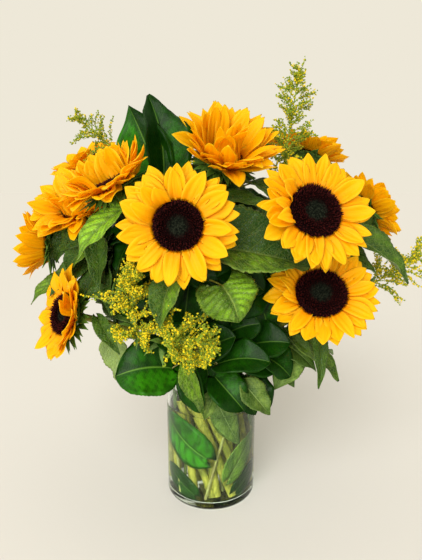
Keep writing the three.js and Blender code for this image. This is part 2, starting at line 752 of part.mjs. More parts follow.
goldenrods.forEach((spray) => {
  const root = point(...spray.root);
  const facing = point(...spray.control).sub(root).normalize();
  const head = root.clone().addScaledVector(facing, -fitGap * 3);
  const curve = stemCurve({ ...spray, head, facing });
  holes.push(stemHole(curve, goldenrodRadius, goldenrodRadius, 4));
  addMesh(group, `goldenrod_${spray.name}_stem`, toGeometry(goldenrodStem(spray, curve)), {
    color: goldenrodGreen, roughness: 0.7,
  });
  addMesh(group, `goldenrod_${spray.name}_plume`, toGeometry(plumeSolid(spray)), {
    color: goldenrodYellow, roughness: 0.8,
  });
});

addMesh(group, 'vase', toGeometry(toSolid(vaseGeometry())), {
  color: 0xdfe8e2, roughness: 0.03, transparent: true, opacity: 0.35,
});
addMesh(group, 'water', toGeometry(waterSolid(holes)), {
  color: 0xd8e3cf, roughness: 0.02, transparent: true, opacity: 0.4,
});

export default group;
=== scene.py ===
import math

import bpy
import numpy as np
from mathutils import Matrix, Vector


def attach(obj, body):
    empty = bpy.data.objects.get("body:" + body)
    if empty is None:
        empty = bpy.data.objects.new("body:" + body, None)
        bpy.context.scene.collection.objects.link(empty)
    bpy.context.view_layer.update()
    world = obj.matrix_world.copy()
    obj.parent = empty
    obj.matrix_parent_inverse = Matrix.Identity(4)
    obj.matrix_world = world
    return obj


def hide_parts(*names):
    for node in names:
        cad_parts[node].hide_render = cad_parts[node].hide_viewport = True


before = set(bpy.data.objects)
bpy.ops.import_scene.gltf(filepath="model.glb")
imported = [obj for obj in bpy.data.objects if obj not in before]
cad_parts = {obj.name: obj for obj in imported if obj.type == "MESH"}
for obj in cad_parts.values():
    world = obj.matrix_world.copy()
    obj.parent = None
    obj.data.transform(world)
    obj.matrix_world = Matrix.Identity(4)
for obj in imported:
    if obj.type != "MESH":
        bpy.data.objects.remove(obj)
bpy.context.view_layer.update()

# Glass vase
# A straight blown cylinder with a thick clear bottom and a fire-polished rim. The bottom is
# slightly hollow underneath, so that it stands on a narrow ring.
MM = 0.001
VASE_RADIUS = 60
VASE_HEIGHT = 180
WALL = 3.5
BOTTOM = 9
HEEL = 6
FILLET = 5
GLASS_BENDING = 1.5
ROUND_STEPS = 96
ARC_STEPS = 6
# radius and height along the lower face of the bottom, and radius and rise along its upper face
hollow = [(0, 1.6), (38, 1.1), (48, 0.2)]
dish = [(0, 0.8), (30, 0.3)]


def add(tree, kind, inputs=None, **settings):
    """A new node with its inputs linked or set; a node as an input stands for its first output"""
    made = tree.nodes.new(kind)
    for key, value in settings.items():
        setattr(made, key, value)
    for key, value in (inputs or {}).items():
        value = value.outputs[0] if isinstance(value, bpy.types.Node) else value
        if isinstance(value, bpy.types.NodeSocket):
            tree.links.new(value, made.inputs[key])
        else:
            made.inputs[key].default_value = value
    return made


def new_material(name):
    material = bpy.data.materials.new(name)
    material.use_nodes = True
    material.node_tree.nodes.clear()
    return material, material.node_tree


def clear_finish(name, colour, ior):
    """Clear glass or water, which lets lamp light through to what stands in it"""
    material, tree = new_material(name)
    body = add(tree, "ShaderNodeBsdfPrincipled", {
        "Base Color": colour, "Roughness": 0.0, "IOR": ior, "Transmission Weight": 1.0,
        "Specular Tint": (0.3, 0.3, 0.3, 1)})
    shadow = add(tree, "ShaderNodeLightPath").outputs["Is Shadow Ray"]
    passing = add(tree, "ShaderNodeBsdfTransparent", {"Color": colour})
    both = add(tree, "ShaderNodeMixShader", {0: shadow, 1: body, 2: passing})
    add(tree, "ShaderNodeOutputMaterial", {"Surface": both})
    return material


def mesh_object(name, points, faces, material, smooth=True):
    """An object of one material from points in millimetres"""
    mesh = bpy.data.meshes.new(name)
    mesh.from_pydata([tuple(p) for p in np.asarray(points) * MM], [], faces)
    mesh.polygons.foreach_set("use_smooth", [smooth] * len(mesh.polygons))
    mesh.materials.append(material)
    mesh.update()
    made = bpy.data.objects.new(name, mesh)
    bpy.context.scene.collection.objects.link(made)
    return made


def turned(profile, steps=ROUND_STEPS):
    """Points and faces of a profile of (radius, height) spun round the upright axis"""
    points, faces, rings = [], [], []
    for radius, height in profile:
        count = steps if radius > 0 else 1
        rings.append([len(points) + i for i in range(count)])
        for i in range(count):
            angle = 2 * math.pi * i / steps
            points.append((radius * math.cos(angle), radius * math.sin(angle), height))
    for low, high in zip(rings, rings[1:]):
        for i in range(steps):
            corners = [low[i % len(low)], low[(i + 1) % len(low)],
                       high[(i + 1) % len(high)], high[i % len(high)]]
            faces.append(list(dict.fromkeys(corners)))
    return np.array(points), faces


def arc(middle, radius, start, end):
    angles = np.radians(np.linspace(start, end, ARC_STEPS + 1))
    return [(middle[0] + radius * math.cos(a), middle[1] + radius * math.sin(a)) for a in angles]


def finish_piece(piece, slot, *nodes):
    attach(piece, "root")
    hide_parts(*nodes)


def straight(start, end):
    """A straight run of the profile, with rings close to both ends to keep its shading flat"""
    (x0, y0), (x1, y1) = start, end
    return [(x0 + (x1 - x0) * f, y0 + (y1 - y0) * f) for f in (0.004, 0.02, 0.35, 0.65, 0.98, 0.996)]


inner_radius = VASE_RADIUS - WALL
glass = clear_finish("vase_glass", (0.93, 0.975, 0.945, 1), GLASS_BENDING)
vase_profile = (
    hollow
    + arc((VASE_RADIUS - HEEL, HEEL), HEEL, -90, 0)
    + straight((VASE_RADIUS, HEEL), (VASE_RADIUS, VASE_HEIGHT - WALL / 2))
    + arc((VASE_RADIUS - WALL / 2, VASE_HEIGHT - WALL / 2), WALL / 2, 0, 180)
    + straight((inner_radius, VASE_HEIGHT - WALL / 2), (inner_radius, BOTTOM + FILLET))
    + arc((inner_radius - FILLET, BOTTOM + FILLET), FILLET, 0, -90)
    + [(radius, BOTTOM + rise) for radius, rise in reversed(dish)])
vase = mesh_object("vase_cylinder", *turned(vase_profile), glass)
finish_piece(vase, "vase_glass", "vase")

# Water
# It fills the vase to a little over two thirds and climbs the glass in a thin meniscus. Its outer
# skin lies a little within the wall, so that light passes from one to the other without an air gap.
WATER_LEVEL = 128
WATER_BENDING = 1.333
CLIMB = 1.6
SKIN = 0.15
# distance in from the glass and height above the level
meniscus = [(-SKIN, CLIMB), (0.5, 0.9), (1.6, 0.3), (4, 0)]
water_finish = clear_finish("vase_water", (0.965, 0.985, 0.94, 1), WATER_BENDING)
water_profile = (
    [(radius, BOTTOM + rise - SKIN) for radius, rise in dish]
    + arc((inner_radius - FILLET, BOTTOM + FILLET), FILLET + SKIN, -90, 0)
    + straight((inner_radius + SKIN, BOTTOM + FILLET), (inner_radius + SKIN, WATER_LEVEL + CLIMB))
    + [(inner_radius - inward, WATER_LEVEL + rise) for inward, rise in meniscus]
    + [(0, WATER_LEVEL)])
water = mesh_object("vase_water", *turned(water_profile), water_finish)
finish_piece(water, "water", "water")

# Sunflower stems
# Each bloom has a thick pale green stem, ridged along its length and slightly hairy. The stems
# stand spirally in the water and bend out above the rim to their blooms.
WAIST_HEIGHT = 165
FOOT_HEIGHT = 14
LEAN = 0.0045
RECEPTACLE_TOP = -3.55
NECK_DEPTH = 8
STEM_GIRTH = (5.2, 4.1)
STEM_SIDES = 16
STEM_RIDGE = 0.07
LOW_STEPS = 5
BEND_STEPS = 25
# waist is a stem's distance and direction from the middle line of the vase at WAIST_HEIGHT. cup is
# how far the petals rise in degrees, inner how much further the inner row does, and sway how much
# further one side does. folded is the middle, count and rise of the petals that fold over the disc,
# fuller the number of loose petals to add, and broad makes all petals wider.
BLOOMS = [
    dict(name="front", head=(-32, -150, 377), facing=(-0.02, -0.99, 0.1), radius=61, disc=25, cup=4,
         inner=12, petals=11, seed=11, waist=(35, -78), roll=8),
    dict(name="right_upper", head=(107, -120, 390), facing=(0.23, -0.87, 0.435), radius=65, disc=29,
         cup=4, inner=12, petals=11, seed=23, waist=(35, -42), roll=0),
    dict(name="right_lower", head=(122, -95, 299), facing=(-0.06, -0.79, 0.61), radius=63, disc=29,
         cup=2, inner=12, petals=11, seed=37, waist=(35, -8), roll=14, neck=0.4),
    dict(name="left_upper", head=(-162, -17, 394), facing=(-0.35, -0.58, 0.74), radius=68, disc=25,
         cup=6, inner=34, folded=(290, 9, 38), fuller=12, broad=1.25, petals=10, seed=41,
         waist=(35, -152), roll=6, rise=0.55),
    dict(name="left_high", head=(-105, -88, 417), facing=(-0.42, -0.16, 0.89), radius=64, disc=24,
         cup=42, inner=14, sway=45, sway_turn=150, fuller=6, broad=1.3, petals=10, seed=53,
         waist=(14, -130), roll=0),
    dict(name="far_left", head=(-213, 10, 341), facing=(-0.96, -0.08, 0.1), radius=60, disc=22, cup=46,
         inner=14, petals=8, seed=67, waist=(35, 172), roll=0, rise=0.3),
    dict(name="left_lower", head=(-176, -60, 265), facing=(-0.66, -0.68, 0.3), radius=60, disc=25,
         cup=12, inner=12, sway=22, sway_turn=0, folded=(20, 2, 20), fuller=4, broad=1.15, petals=9,
         seed=71, waist=(35, -115), roll=10, rise=0.2, neck=0.4),
    dict(name="top", head=(15, -50, 447), facing=(0.2, -0.6, 0.78), radius=73, disc=21, cup=36,
         inner=26, sway=10, sway_turn=100, folded=(270, 9, 34), fuller=8, broad=1.15, petals=11,
         seed=83, waist=(14, -10), roll=0),
    dict(name="top_back", head=(46, 100, 472), facing=(0.1, 0.5, 0.85), radius=54, disc=22, cup=24,
         inner=12, petals=8, seed=97, waist=(14, 110), roll=0),
    dict(name="right_back", head=(133, 72, 456), facing=(0.3, 0.3, 0.9), radius=56, disc=23, cup=16,
         inner=12, petals=9, seed=101, waist=(35, 62), roll=0),
    dict(name="right_far", head=(198, 18, 385), facing=(0.75, 0.32, 0.55), radius=58, disc=24, cup=8,
         inner=12, petals=9, seed=113, waist=(35, 27), roll=0),
    dict(name="left_back", head=(-177, 73, 448), facing=(-0.42, -0.34, 0.84), radius=52, disc=22,
         cup=14, inner=12, petals=8, seed=127, waist=(35, 135), roll=0),
]


def random_source(seed):
    """Repeatable random numbers from 0 to 1"""
    state = seed

    def draw():
        nonlocal state
        state = (1664525 * state + 1013904223) & 0xFFFFFFFF
        return state / 4294967296
    return draw


def unit(v):
    v = np.asarray(v, float)
    return v / np.linalg.norm(v)


def bezier(corners, t):
    """Points of a Bezier curve of any degree at the fractions t"""
    t = np.asarray(t, float)[:, None]
    rows = [np.asarray(c, float) * np.ones_like(t) for c in corners]
    while len(rows) > 1:
        rows = [a * (1 - t) + b * t for a, b in zip(rows, rows[1:])]
    return rows[0]


def stem_curve(plant, head, facing):
    """Foot and waist of a stem and the corners of its bend, as the stem grows to its head"""
    radius, angle = plant["waist"]
    waist = np.array([radius * math.cos(math.radians(angle)), radius * math.sin(math.radians(angle)),
                      WAIST_HEIGHT])
    slope = np.array(plant.get("slant", (LEAN * waist[1], -LEAN * waist[0], 1)), float)
    span = np.linalg.norm(head - waist)
    corners = [waist, waist + unit(slope) * span * plant.get("rise", 0.42),
               head - facing * span * plant.get("neck", 0.3), head]
    return dict(waist=waist, slope=slope, corners=corners)


def at_height(curve, height):
    return curve["waist"] + curve["slope"] * (height - WAIST_HEIGHT)


def stem_path(curve):
    """Points up a stem, straight below its waist and bent above it"""
    low = [at_height(curve, h) for h in np.linspace(FOOT_HEIGHT, WAIST_HEIGHT, LOW_STEPS + 1)[:-1]]
    return np.concatenate([low, bezier(curve["corners"], np.linspace(0, 1, BEND_STEPS + 1))])


def sums(tree, operation, *values):
    return add(tree, "ShaderNodeMath", dict(enumerate(values)), operation=operation)


def named_value(tree, key):
    return add(tree, "GeometryNodeInputNamedAttribute", {"Name": key}, data_type="FLOAT")


def tree_end(tree, shape):
    last = add(tree, "NodeGroupOutput")
    tree.links.new(shape.outputs[0], last.inputs[0])


def new_tree(name, result, inputs):
    """A tree of nodes with named inputs, given with the identifiers of its inputs"""
    tree = bpy.data.node_groups.new(name, "GeometryNodeTree")
    names = {}
    for key, (kind, value) in inputs.items():
        socket = tree.interface.new_socket(key, in_out="INPUT", socket_type="NodeSocket" + kind)
        if value is not None:
            socket.default_value = value
        names[key] = socket.identifier
    tree.interface.new_socket(result, in_out="OUTPUT", socket_type="NodeSocketGeometry")
    return tree, names, add(tree, "NodeGroupInput").outputs


def stalk_tree():
    """Round ridged stems along edges, as thick as their girth"""
    tree, names, given = new_tree("stalks", "Stems", {
        "Course": ("Geometry", None), "Sides": ("Int", 12), "Ridge": ("Float", 0.1),
        "Skin": ("Material", None)})
    curve = add(tree, "GeometryNodeMeshToCurve", {0: given["Course"]})
    ring = add(tree, "GeometryNodeCurvePrimitiveCircle", {"Resolution": given["Sides"], "Radius": 1.0})
    parity = sums(tree, "MODULO", add(tree, "GeometryNodeInputIndex"), 2.0)
    swell = sums(tree, "MULTIPLY_ADD", parity, given["Ridge"], 1.0)
    wider = add(tree, "ShaderNodeVectorMath", {
        0: add(tree, "GeometryNodeInputPosition"), "Scale": swell}, operation="SCALE")
    ridged = add(tree, "GeometryNodeSetPosition", {0: ring, "Position": wider})
    tube = add(tree, "GeometryNodeCurveToMesh", {
        "Curve": curve, "Profile Curve": ridged, "Scale": named_value(tree, "girth"), "Fill Caps": True})
    smooth = add(tree, "GeometryNodeSetShadeSmooth", {0: tube})
    dressed = add(tree, "GeometryNodeSetMaterial", {0: smooth, "Material": given["Skin"]})
    tree_end(tree, add(tree, "GeometryNodeRealizeInstances", {0: dressed}))
    return tree, names


def grown(name, points, edges, attributes, tree, names, values):
    """A plain mesh object that a tree of nodes grows from points and edges in millimetres"""
    mesh = bpy.data.meshes.new(name + "_course")
    mesh.from_pydata([tuple(p) for p in np.asarray(points) * MM], edges, [])
    for key, numbers in attributes.items():
        layer = mesh.attributes.new(key, "FLOAT", "POINT")
        layer.data.foreach_set("value", np.asarray(numbers, float))
    course = bpy.data.objects.new(name + "_course", mesh)
    bpy.context.scene.collection.objects.link(course)
    grower = course.modifiers.new("grow", "NODES")
    grower.node_group = tree
    for key, value in values.items():
        grower[names[key]] = value
    bpy.context.view_layer.update()
    drawn = bpy.data.meshes.new_from_object(
        course.evaluated_get(bpy.context.evaluated_depsgraph_get()))
    drawn.name = name
    bpy.data.objects.remove(course)
    made = bpy.data.objects.new(name, drawn)
    bpy.context.scene.collection.objects.link(made)
    return made


def chains(paths, girths):
    """Points, edges and girths of several paths as one course"""
    points, edges, girth = [], [], []
    for path, (start, end) in zip(paths, girths):
        first = len(points)
        points.extend(path)
        edges.extend((first + i, first + i + 1) for i in range(len(path) - 1))
        girth.extend(np.linspace(start, end, len(path)) * MM)
    return points, edges, {"girth": girth}


def mix_colour(tree, factor, a, b):
    return add(tree, "ShaderNodeMix", {0: factor, 6: a, 7: b}, data_type="RGBA",
               clamp_factor=True).outputs[2]


def ranged(tree, value, low, high, to_low=0.0, to_high=1.0):
    return add(tree, "ShaderNodeMapRange", {0: value, 1: low, 2: high, 3: to_low, 4: to_high},
               interpolation_type="SMOOTHSTEP")


def grain(tree, place, scale, detail):
    return add(tree, "ShaderNodeTexNoise", {0: place, "Scale": scale, "Detail": detail})


def bumps(tree, height, strength, depth):
    return add(tree, "ShaderNodeBump", {"Strength": strength, "Distance": depth, "Height": height})


def surface(tree, colour, roughness, shine, relief=None, glow=None, share=0.0):
    """Ends a finish; with a glow, some light shines through from behind"""
    inputs = {"Base Color": colour, "Roughness": roughness, "Specular IOR Level": shine}
    if relief is not None:
        inputs["Normal"] = relief
    body = add(tree, "ShaderNodeBsdfPrincipled", inputs)
    if glow is not None:
        through = add(tree, "ShaderNodeBsdfTranslucent", {"Color": glow})
        body = add(tree, "ShaderNodeMixShader", {0: share, 1: body, 2: through})
    add(tree, "ShaderNodeOutputMaterial", {"Surface": body})


def stem_finish(name, pale, deep, roughness):
    """Green skin with fine streaks along the stem and a darker mottle"""
    material, tree = new_material(name)
    place = add(tree, "ShaderNodeTexCoord").outputs["Object"]
    drawn = add(tree, "ShaderNodeMapping", {0: place, "Scale": (1.0, 1.0, 0.12)})
    streak = grain(tree, drawn, 900.0, 3.0)
    patch = grain(tree, place, 45.0, 3.0)
    tint = sums(tree, "ADD", sums(tree, "MULTIPLY", streak, 0.6), sums(tree, "MULTIPLY", patch, 0.7))
    colour = mix_colour(tree, ranged(tree, tint, 0.42, 0.9), deep, pale)
    surface(tree, colour, roughness, shine=0.2, relief=bumps(tree, streak, 0.9, depth=0.0006))
    return material


stalks, stalk_inputs = stalk_tree()
stem_green = stem_finish("stem_green", pale=(0.42, 0.4, 0.055, 1), deep=(0.1, 0.12, 0.012, 1),
                         roughness=0.5)

for bloom in BLOOMS:
    bloom["facing"] = unit(bloom["facing"])
    neck_point = np.array(bloom["head"]) + bloom["facing"] * (RECEPTACLE_TOP - NECK_DEPTH)
    bloom["curve"] = stem_curve(bloom, neck_point, bloom["facing"])
    course = chains([stem_path(bloom["curve"])], [STEM_GIRTH])
    stem = grown(bloom["name"] + "_stalk", *course, stalks, stalk_inputs,
                 {"Sides": STEM_SIDES, "Ridge": STEM_RIDGE, "Skin": stem_green})
    finish_piece(stem, "sunflower_green", bloom["name"] + "_stem")

# Green cups and bracts
# Under each bloom the stem swells into a cup with two rows of pointed, hairy bracts that curl
# away from the petals.
BRACT_LENGTH = 22
BRACT_HALF = 5.2
BRACT_THICKNESS = 0.9
STEEPEST_BRACT = 24
CUP_STEPS = 24


def eased(points, t):
    """Smooth curve through points of (place, value), read at t"""
    x, y = np.array(points, float).T
    slope = np.gradient(y, x)
    k = np.clip(np.searchsorted(x, t, side="right") - 1, 0, len(x) - 2)
    wide = x[k + 1] - x[k]
    f = (t - x[k]) / wide
    return ((1 + 2 * f) * (1 - f) ** 2 * y[k] + f * (1 - f) ** 2 * wide * slope[k]
            + f * f * (3 - 2 * f) * y[k + 1] + f * f * (f - 1) * wide * slope[k + 1])


def petal_axes(turn, tilt):
    """Outward, along and up for a blade that stands at turn and tilt degrees on a bloom"""
    turn, tilt = math.radians(turn), math.radians(tilt)
    out = np.array([math.cos(turn), math.sin(turn), 0])
    along = out * math.cos(tilt) + np.array([0, 0, math.sin(tilt)])
    up = -out * math.sin(tilt) + np.array([0, 0, math.cos(tilt)])
    return out, along, up


def bloom_turn(bloom):
    """Matrix whose columns are a bloom's own axes"""
    facing = bloom["facing"]
    side = unit(np.cross((0, 0, 1), facing))
    other = np.cross(facing, side)
    roll = math.radians(bloom["roll"])
    return np.stack([side * math.cos(roll) + other * math.sin(roll),
                     other * math.cos(roll) - side * math.sin(roll), facing], axis=1)


def blade_part(middle, thickness, tone, puff=None):
    """Closed thin blade round a middle surface of rows by columns, thinning to its edges"""
    rows, columns = middle.shape[:2]
    across, along = np.gradient(middle, axis=1), np.gradient(middle, axis=0)
    face = np.cross(across, along)
    face /= np.linalg.norm(face, axis=2, keepdims=True) + 1e-12
    half = np.zeros((rows, columns, 1))
    half[1:-1, 1:-1] = thickness / 2
    upper = np.arange(rows * columns).reshape(rows, columns)
    lower = upper.copy()
    lower[1:-1, 1:-1] = rows * columns + np.arange((rows - 2) * (columns - 2)).reshape(rows - 2, -1)
    top = (middle + face * half).reshape(-1, 3)
    low = (middle - face * half)[1:-1, 1:-1].reshape(-1, 3)

    def quads(ids):
        return np.stack([ids[:-1, :-1], ids[:-1, 1:], ids[1:, 1:], ids[1:, :-1]], axis=2).reshape(-1, 4)

    u, v = np.meshgrid(np.linspace(0, 1, columns), np.linspace(0, 1, rows))
    chart = np.stack([u, v], axis=2)
    puff = np.full((rows, columns), 0.5) if puff is None else puff
    return dict(
        points=np.concatenate([top, low]),
        faces=np.concatenate([quads(upper), quads(lower)[:, ::-1]]),
        chart=np.concatenate([chart.reshape(-1, 2), chart[1:-1, 1:-1].reshape(-1, 2)]),
        puff=np.concatenate([puff.reshape(-1), 1 - puff[1:-1, 1:-1].reshape(-1)]),
        under=np.repeat([0.0, 1.0], (rows - 1) * (columns - 1)), tone=tone)


def blades_object(name, parts, material):
    """One object from many blades, with their chart, tone and underside marked"""
    first, faces = 0, []
    for part in parts:
        faces.append(part["faces"] + first)
        first += len(part["points"])
    faces = np.concatenate(faces)
    made = mesh_object(name, np.concatenate([p["points"] for p in parts]), faces.tolist(), material)
    mesh = made.data
    chart = np.concatenate([p["chart"] for p in parts])[faces.reshape(-1)]
    mesh.uv_layers.new(name="chart").data.foreach_set("uv", chart.reshape(-1))
    under = np.concatenate([p["under"] for p in parts])
    tone = np.concatenate([np.full(len(p["faces"]), p["tone"]) for p in parts])
    puff = np.concatenate([p["puff"] for p in parts])
    for key, part, numbers in (("under", "FACE", under), ("tone", "FACE", tone), ("puff", "POINT", puff)):
        mesh.attributes.new(key, "FLOAT", part).data.foreach_set("value", numbers)
    return made


def placed(parts, turn, origin):
    """Blades moved from a bloom's own frame to the room"""
    for part in parts:
        part["points"] = part["points"] @ turn.T + origin
    return parts


def swayed(bloom, turn):
    """Degrees that one side of a bloom opens further than the other"""
    return bloom.get("sway", 0) * math.cos(math.radians(turn - bloom.get("sway_turn", 0)))


def bract_finish():
    """Dark green, lighter along the edges and at the tip, with a fine fur"""
    material, tree = new_material("bract_green")
    place = add(tree, "ShaderNodeTexCoord")
    chart = add(tree, "ShaderNodeSeparateXYZ", {0: place.outputs["UV"]})
    fine = grain(tree, place.outputs["Object"], 700.0, 2.0)
    aside = sums(tree, "ABSOLUTE", sums(tree, "SUBTRACT", chart.outputs[0], 0.5))
    edge = ranged(tree, aside, 0.25, 0.5)
    colour = mix_colour(tree, chart.outputs[1], (0.035, 0.09, 0.008, 1), (0.09, 0.19, 0.018, 1))
    colour = mix_colour(tree, sums(tree, "MULTIPLY", edge, 0.5), colour, (0.16, 0.28, 0.05, 1))
    colour = mix_colour(tree, sums(tree, "MULTIPLY", fine, 0.4), colour, (0.02, 0.05, 0.005, 1))
    surface(tree, colour, roughness=0.7, shine=0.1, relief=bumps(tree, fine, 0.6, depth=0.0003))
    return material


bract_green = bract_finish()
bract_outline = [(0, 0.7), (0.2, 1.0), (0.45, 0.8), (0.75, 0.32), (1, 0.03)]
along_bract = np.linspace(0, 1, 9)
across_bract = np.linspace(-1, 1, 5)

for bloom in BLOOMS:
    draw = random_source(bloom["seed"] + 500)
    disc = bloom["disc"]
    parts = []
    columns = bloom["petals"] * 2 - 2
    for j in range(columns * 2):
        turn = (j / 2 + 0.5) / columns * 360 + (draw() - 0.5) * 8
        open_by = min(bloom["cup"] + swayed(bloom, turn), STEEPEST_BRACT)
        tilt = open_by - (14 if j % 4 == 0 else 22) - draw() * 7
        length = BRACT_LENGTH * (0.85 + draw() * 0.3) * (1.0 if j % 2 == 0 else 0.85)
        out, along, up = petal_axes(turn, tilt)
        base = out * (disc - 1) + np.array([0, 0, RECEPTACLE_TOP - 2.4 - (j % 2) * 2])
        side = np.cross(along, up)
        curl = -0.16 + draw() * 0.2
        t, s = along_bract[:, None, None], across_bract[None, :, None]
        width = eased(bract_outline, along_bract)[:, None, None] * BRACT_HALF * 0.95
        middle = (base + along * length * t + up * curl * length * t * t
                  + side * width * s + up * (0.22 * width * s * s))
        parts.append(blade_part(middle, BRACT_THICKNESS, draw()))
    turn = bloom_turn(bloom)
    cup_profile = [(0, -17.5), (4.4, -17.2), (5.4, -15.5), (disc * 0.5, -12.2), (disc * 0.85, -9.2),
                   (disc + 1, -6.2), (disc + 2, -4.4), (disc + 1, -3.6), (0, -3.6)]
    points, faces = turned(cup_profile, CUP_STEPS)
    bracts = blades_object(bloom["name"] + "_bracts", placed(parts, turn, np.array(bloom["head"])),
                           bract_green)
    cup = mesh_object(bloom["name"] + "_cup", points @ turn.T + np.array(bloom["head"]), faces,
                      bract_green)
    for piece in (bracts, cup):
        finish_piece(piece, "sunflower_green", bloom["name"] + "_stem")

# Petals
# Soft yellow ray petals stand in overlapping rows round the seed disc. Each is grooved along its
# length, orange at the root and lemon at the tip, and no two bend alike.
PETAL_HALF = 9.6
COLLAR_WIDTH = 4
COLLAR_DEPTH = 3.2
LAYER_STEP = 1.5
PETAL_THICKNESS = 0.35
ROOT_TUCK = 1.5
petal_outline = [(0, 0.78), (0.18, 0.93), (0.4, 1.0), (0.62, 0.95), (0.79, 0.7), (0.91, 0.36),
                 (1, 0.03)]
along_petal = np.linspace(0, 1, 14) ** 0.85
across_petal = np.linspace(-1, 1, 13)


def petal_part(base, along, up, length, half, arch, twist, draw):
    """One petal with a channel and two grooves, and its own curl, bend, ripple and point"""
    side = np.cross(along, up)
    curl = (draw() - 0.55) * 0.42
    bend = (draw() - 0.5) * 0.24
    channel = -0.05 + draw() * 0.55
    ripple = 0.02 + draw() * 0.07
    phase = draw() * 6.28
    point = 0.8 + draw() * 0.35
    wide = half * (0.82 + draw() * 0.32)
    t, s = along_petal[:, None, None], across_petal[None, :, None]
    width = eased(petal_outline, along_petal ** point)[:, None, None] * wide
    turned_side = side * np.cos(twist * t) + up * np.sin(twist * t)
    turned_up = up * np.cos(twist * t) - side * np.sin(twist * t)
    groove = 0.075 * np.cos(3 * math.pi * s) * np.sin(math.pi * np.minimum(0.15 + t * 0.85, 1))
    wave = ripple * s * s * np.sin(7 * t + phase + 2 * s)
    lift = arch * 4 * t * (1 - t) + curl * t ** 3
    middle = (base + along * (length * (t - 0.1 * abs(curl) * t ** 3)) + up * (length * lift)
              + side * (length * bend * t * t) + turned_side * (width * s)
              + turned_up * (width * (channel * s * s * (1 - 0.5 * t) + groove + wave * 3)))
    return blade_part(middle, PETAL_THICKNESS, draw())


def marked(tree, key):
    return add(tree, "ShaderNodeAttribute", attribute_name=key).outputs["Fac"]


def petal_finish():
    """Orange root, yellow face and lemon tip, with fine grooves; some light shines through"""
    material, tree = new_material("petal_yellow")
    chart = add(tree, "ShaderNodeSeparateXYZ", {0: add(tree, "ShaderNodeTexCoord").outputs["UV"]})
    tone = marked(tree, "tone")
    shifted = add(tree, "ShaderNodeCombineXYZ", {0: chart.outputs[0], 1: chart.outputs[1], 2: tone})
    spread = add(tree, "ShaderNodeMapping", {0: shifted, "Scale": (16.0, 1.3, 40.0)})
    streak = grain(tree, spread, 1.0, 4.0)
    ramp = add(tree, "ShaderNodeValToRGB", {0: chart.outputs[1]})
    stops = ramp.color_ramp.elements
    stops[0].color = (0.95, 0.34, 0.0, 1)
    stops[1].color = (1.0, 0.67, 0.003, 1)
    for position, colour in ((0.2, (1.0, 0.54, 0.0, 1)), (0.55, (1.0, 0.62, 0.001, 1))):
        stops.new(position).color = colour
    fleck = ranged(tree, streak, 0.35, 0.75, 0.0, 0.45)
    colour = mix_colour(tree, fleck, ramp, (1.0, 0.49, 0.0, 1))
    colour = mix_colour(tree, sums(tree, "MULTIPLY", tone, 0.35), colour, (1.0, 0.62, 0.001, 1))
    # Painted highlight along the edges and at the tip of each petal.
    edge = sums(tree, "ABSOLUTE", sums(tree, "MULTIPLY_ADD", chart.outputs[0], 2.0, -1.0))
    edge = sums(tree, "MAXIMUM", ranged(tree, edge, 0.72, 1.0),
                ranged(tree, chart.outputs[1], 0.9, 1.0))
    colour = mix_colour(tree, sums(tree, "MULTIPLY", edge, 0.7), colour, (1.0, 0.74, 0.03, 1))
    underside = sums(tree, "MULTIPLY", marked(tree, "under"), 0.3)
    colour = mix_colour(tree, underside, colour, (1.0, 0.64, 0.003, 1))
    glow = mix_colour(tree, 0.5, colour, (1.0, 0.76, 0.01, 1))
    surface(tree, colour, roughness=0.5, shine=0.18, relief=bumps(tree, streak, 0.7, depth=0.0006),
            glow=glow, share=0.54)
    return material


petal_yellow = petal_finish()
for bloom in BLOOMS:
    draw = random_source(bloom["seed"])
    extra = random_source(bloom["seed"] + 1000)
    columns = bloom["petals"] * 2
    inner = bloom["disc"] + 0.5
    reach = bloom["radius"] - inner - COLLAR_WIDTH
    parts = []

    def grow_petal(turn, share, length, height, arch, twist, more):
        tilt = bloom["cup"] + share * bloom["inner"] + swayed(bloom, turn) + more
        out, along, up = petal_axes(turn, tilt)
        base = out * (inner - ROOT_TUCK) + np.array([0, 0, height])
        parts.append(petal_part(base, along, up, length + COLLAR_WIDTH + ROOT_TUCK,
                                PETAL_HALF * bloom.get("broad", 1), arch, twist, extra))

    for j in range(columns):
        layer = j % 2
        turn = (j + 0.5) / columns * 360 + (draw() - 0.5) * 5
        more = (draw() - 0.5) * 5
        length = reach * (0.92 + draw() * 0.14) * (0.96 if layer else 1.04)
        arch = -0.02 + draw() * 0.07
        twist = (draw() - 0.5) * 0.4
        grow_petal(turn, layer, length, -COLLAR_DEPTH + layer * LAYER_STEP + 0.3, arch, twist, more)
    filling = bloom["petals"] * 2 + bloom.get("fuller", -3)
    for j in range(filling):
        turn = (j + 0.5) / filling * 360 + (extra() - 0.5) * 14
        length = reach * (0.8 + extra() * 0.2)
        grow_petal(turn, extra(), length, -COLLAR_DEPTH + 0.9, extra() * 0.06, (extra() - 0.5) * 0.5,
                   (extra() - 0.5) * 10)
    middle, count, tilt = bloom.get("folded", (extra() * 360, 3, 16))
    for j in range(count):
        turn = middle + ((j + 0.5) / count - 0.5) * count * 19 + (extra() - 0.5) * 12
        grow_petal(turn, 1, reach * (0.7 + extra() * 0.25), -COLLAR_DEPTH + 2.4, 0.08 + extra() * 0.1,
                   (extra() - 0.5) * 0.9, tilt + extra() * 14)
    petals = blades_object(bloom["name"] + "_petals",
                           placed(parts, bloom_turn(bloom), np.array(bloom["head"])), petal_yellow)
    finish_piece(petals, "petal", bloom["name"] + "_rays")

# Seed discs
# Hundreds of small florets stand in crossing spirals on a shallow dome: flat dark buds in the
# middle and, round them, a raised ring of open maroon florets with bristly tips.
GOLDEN_TURN = 137.50776
FLORETS = 620
USUAL_DISC = 25
BED_STEPS = 32
BUD_SHARE = 0.44
WAVER = 0.3
SEAT_MARGIN = 2.6
FLORET_DEPTH = 3.2
dome = [(0, 0.4), (0.36, 0.5), (0.6, 2.2), (0.85, 1.9), (1, -1.4)]


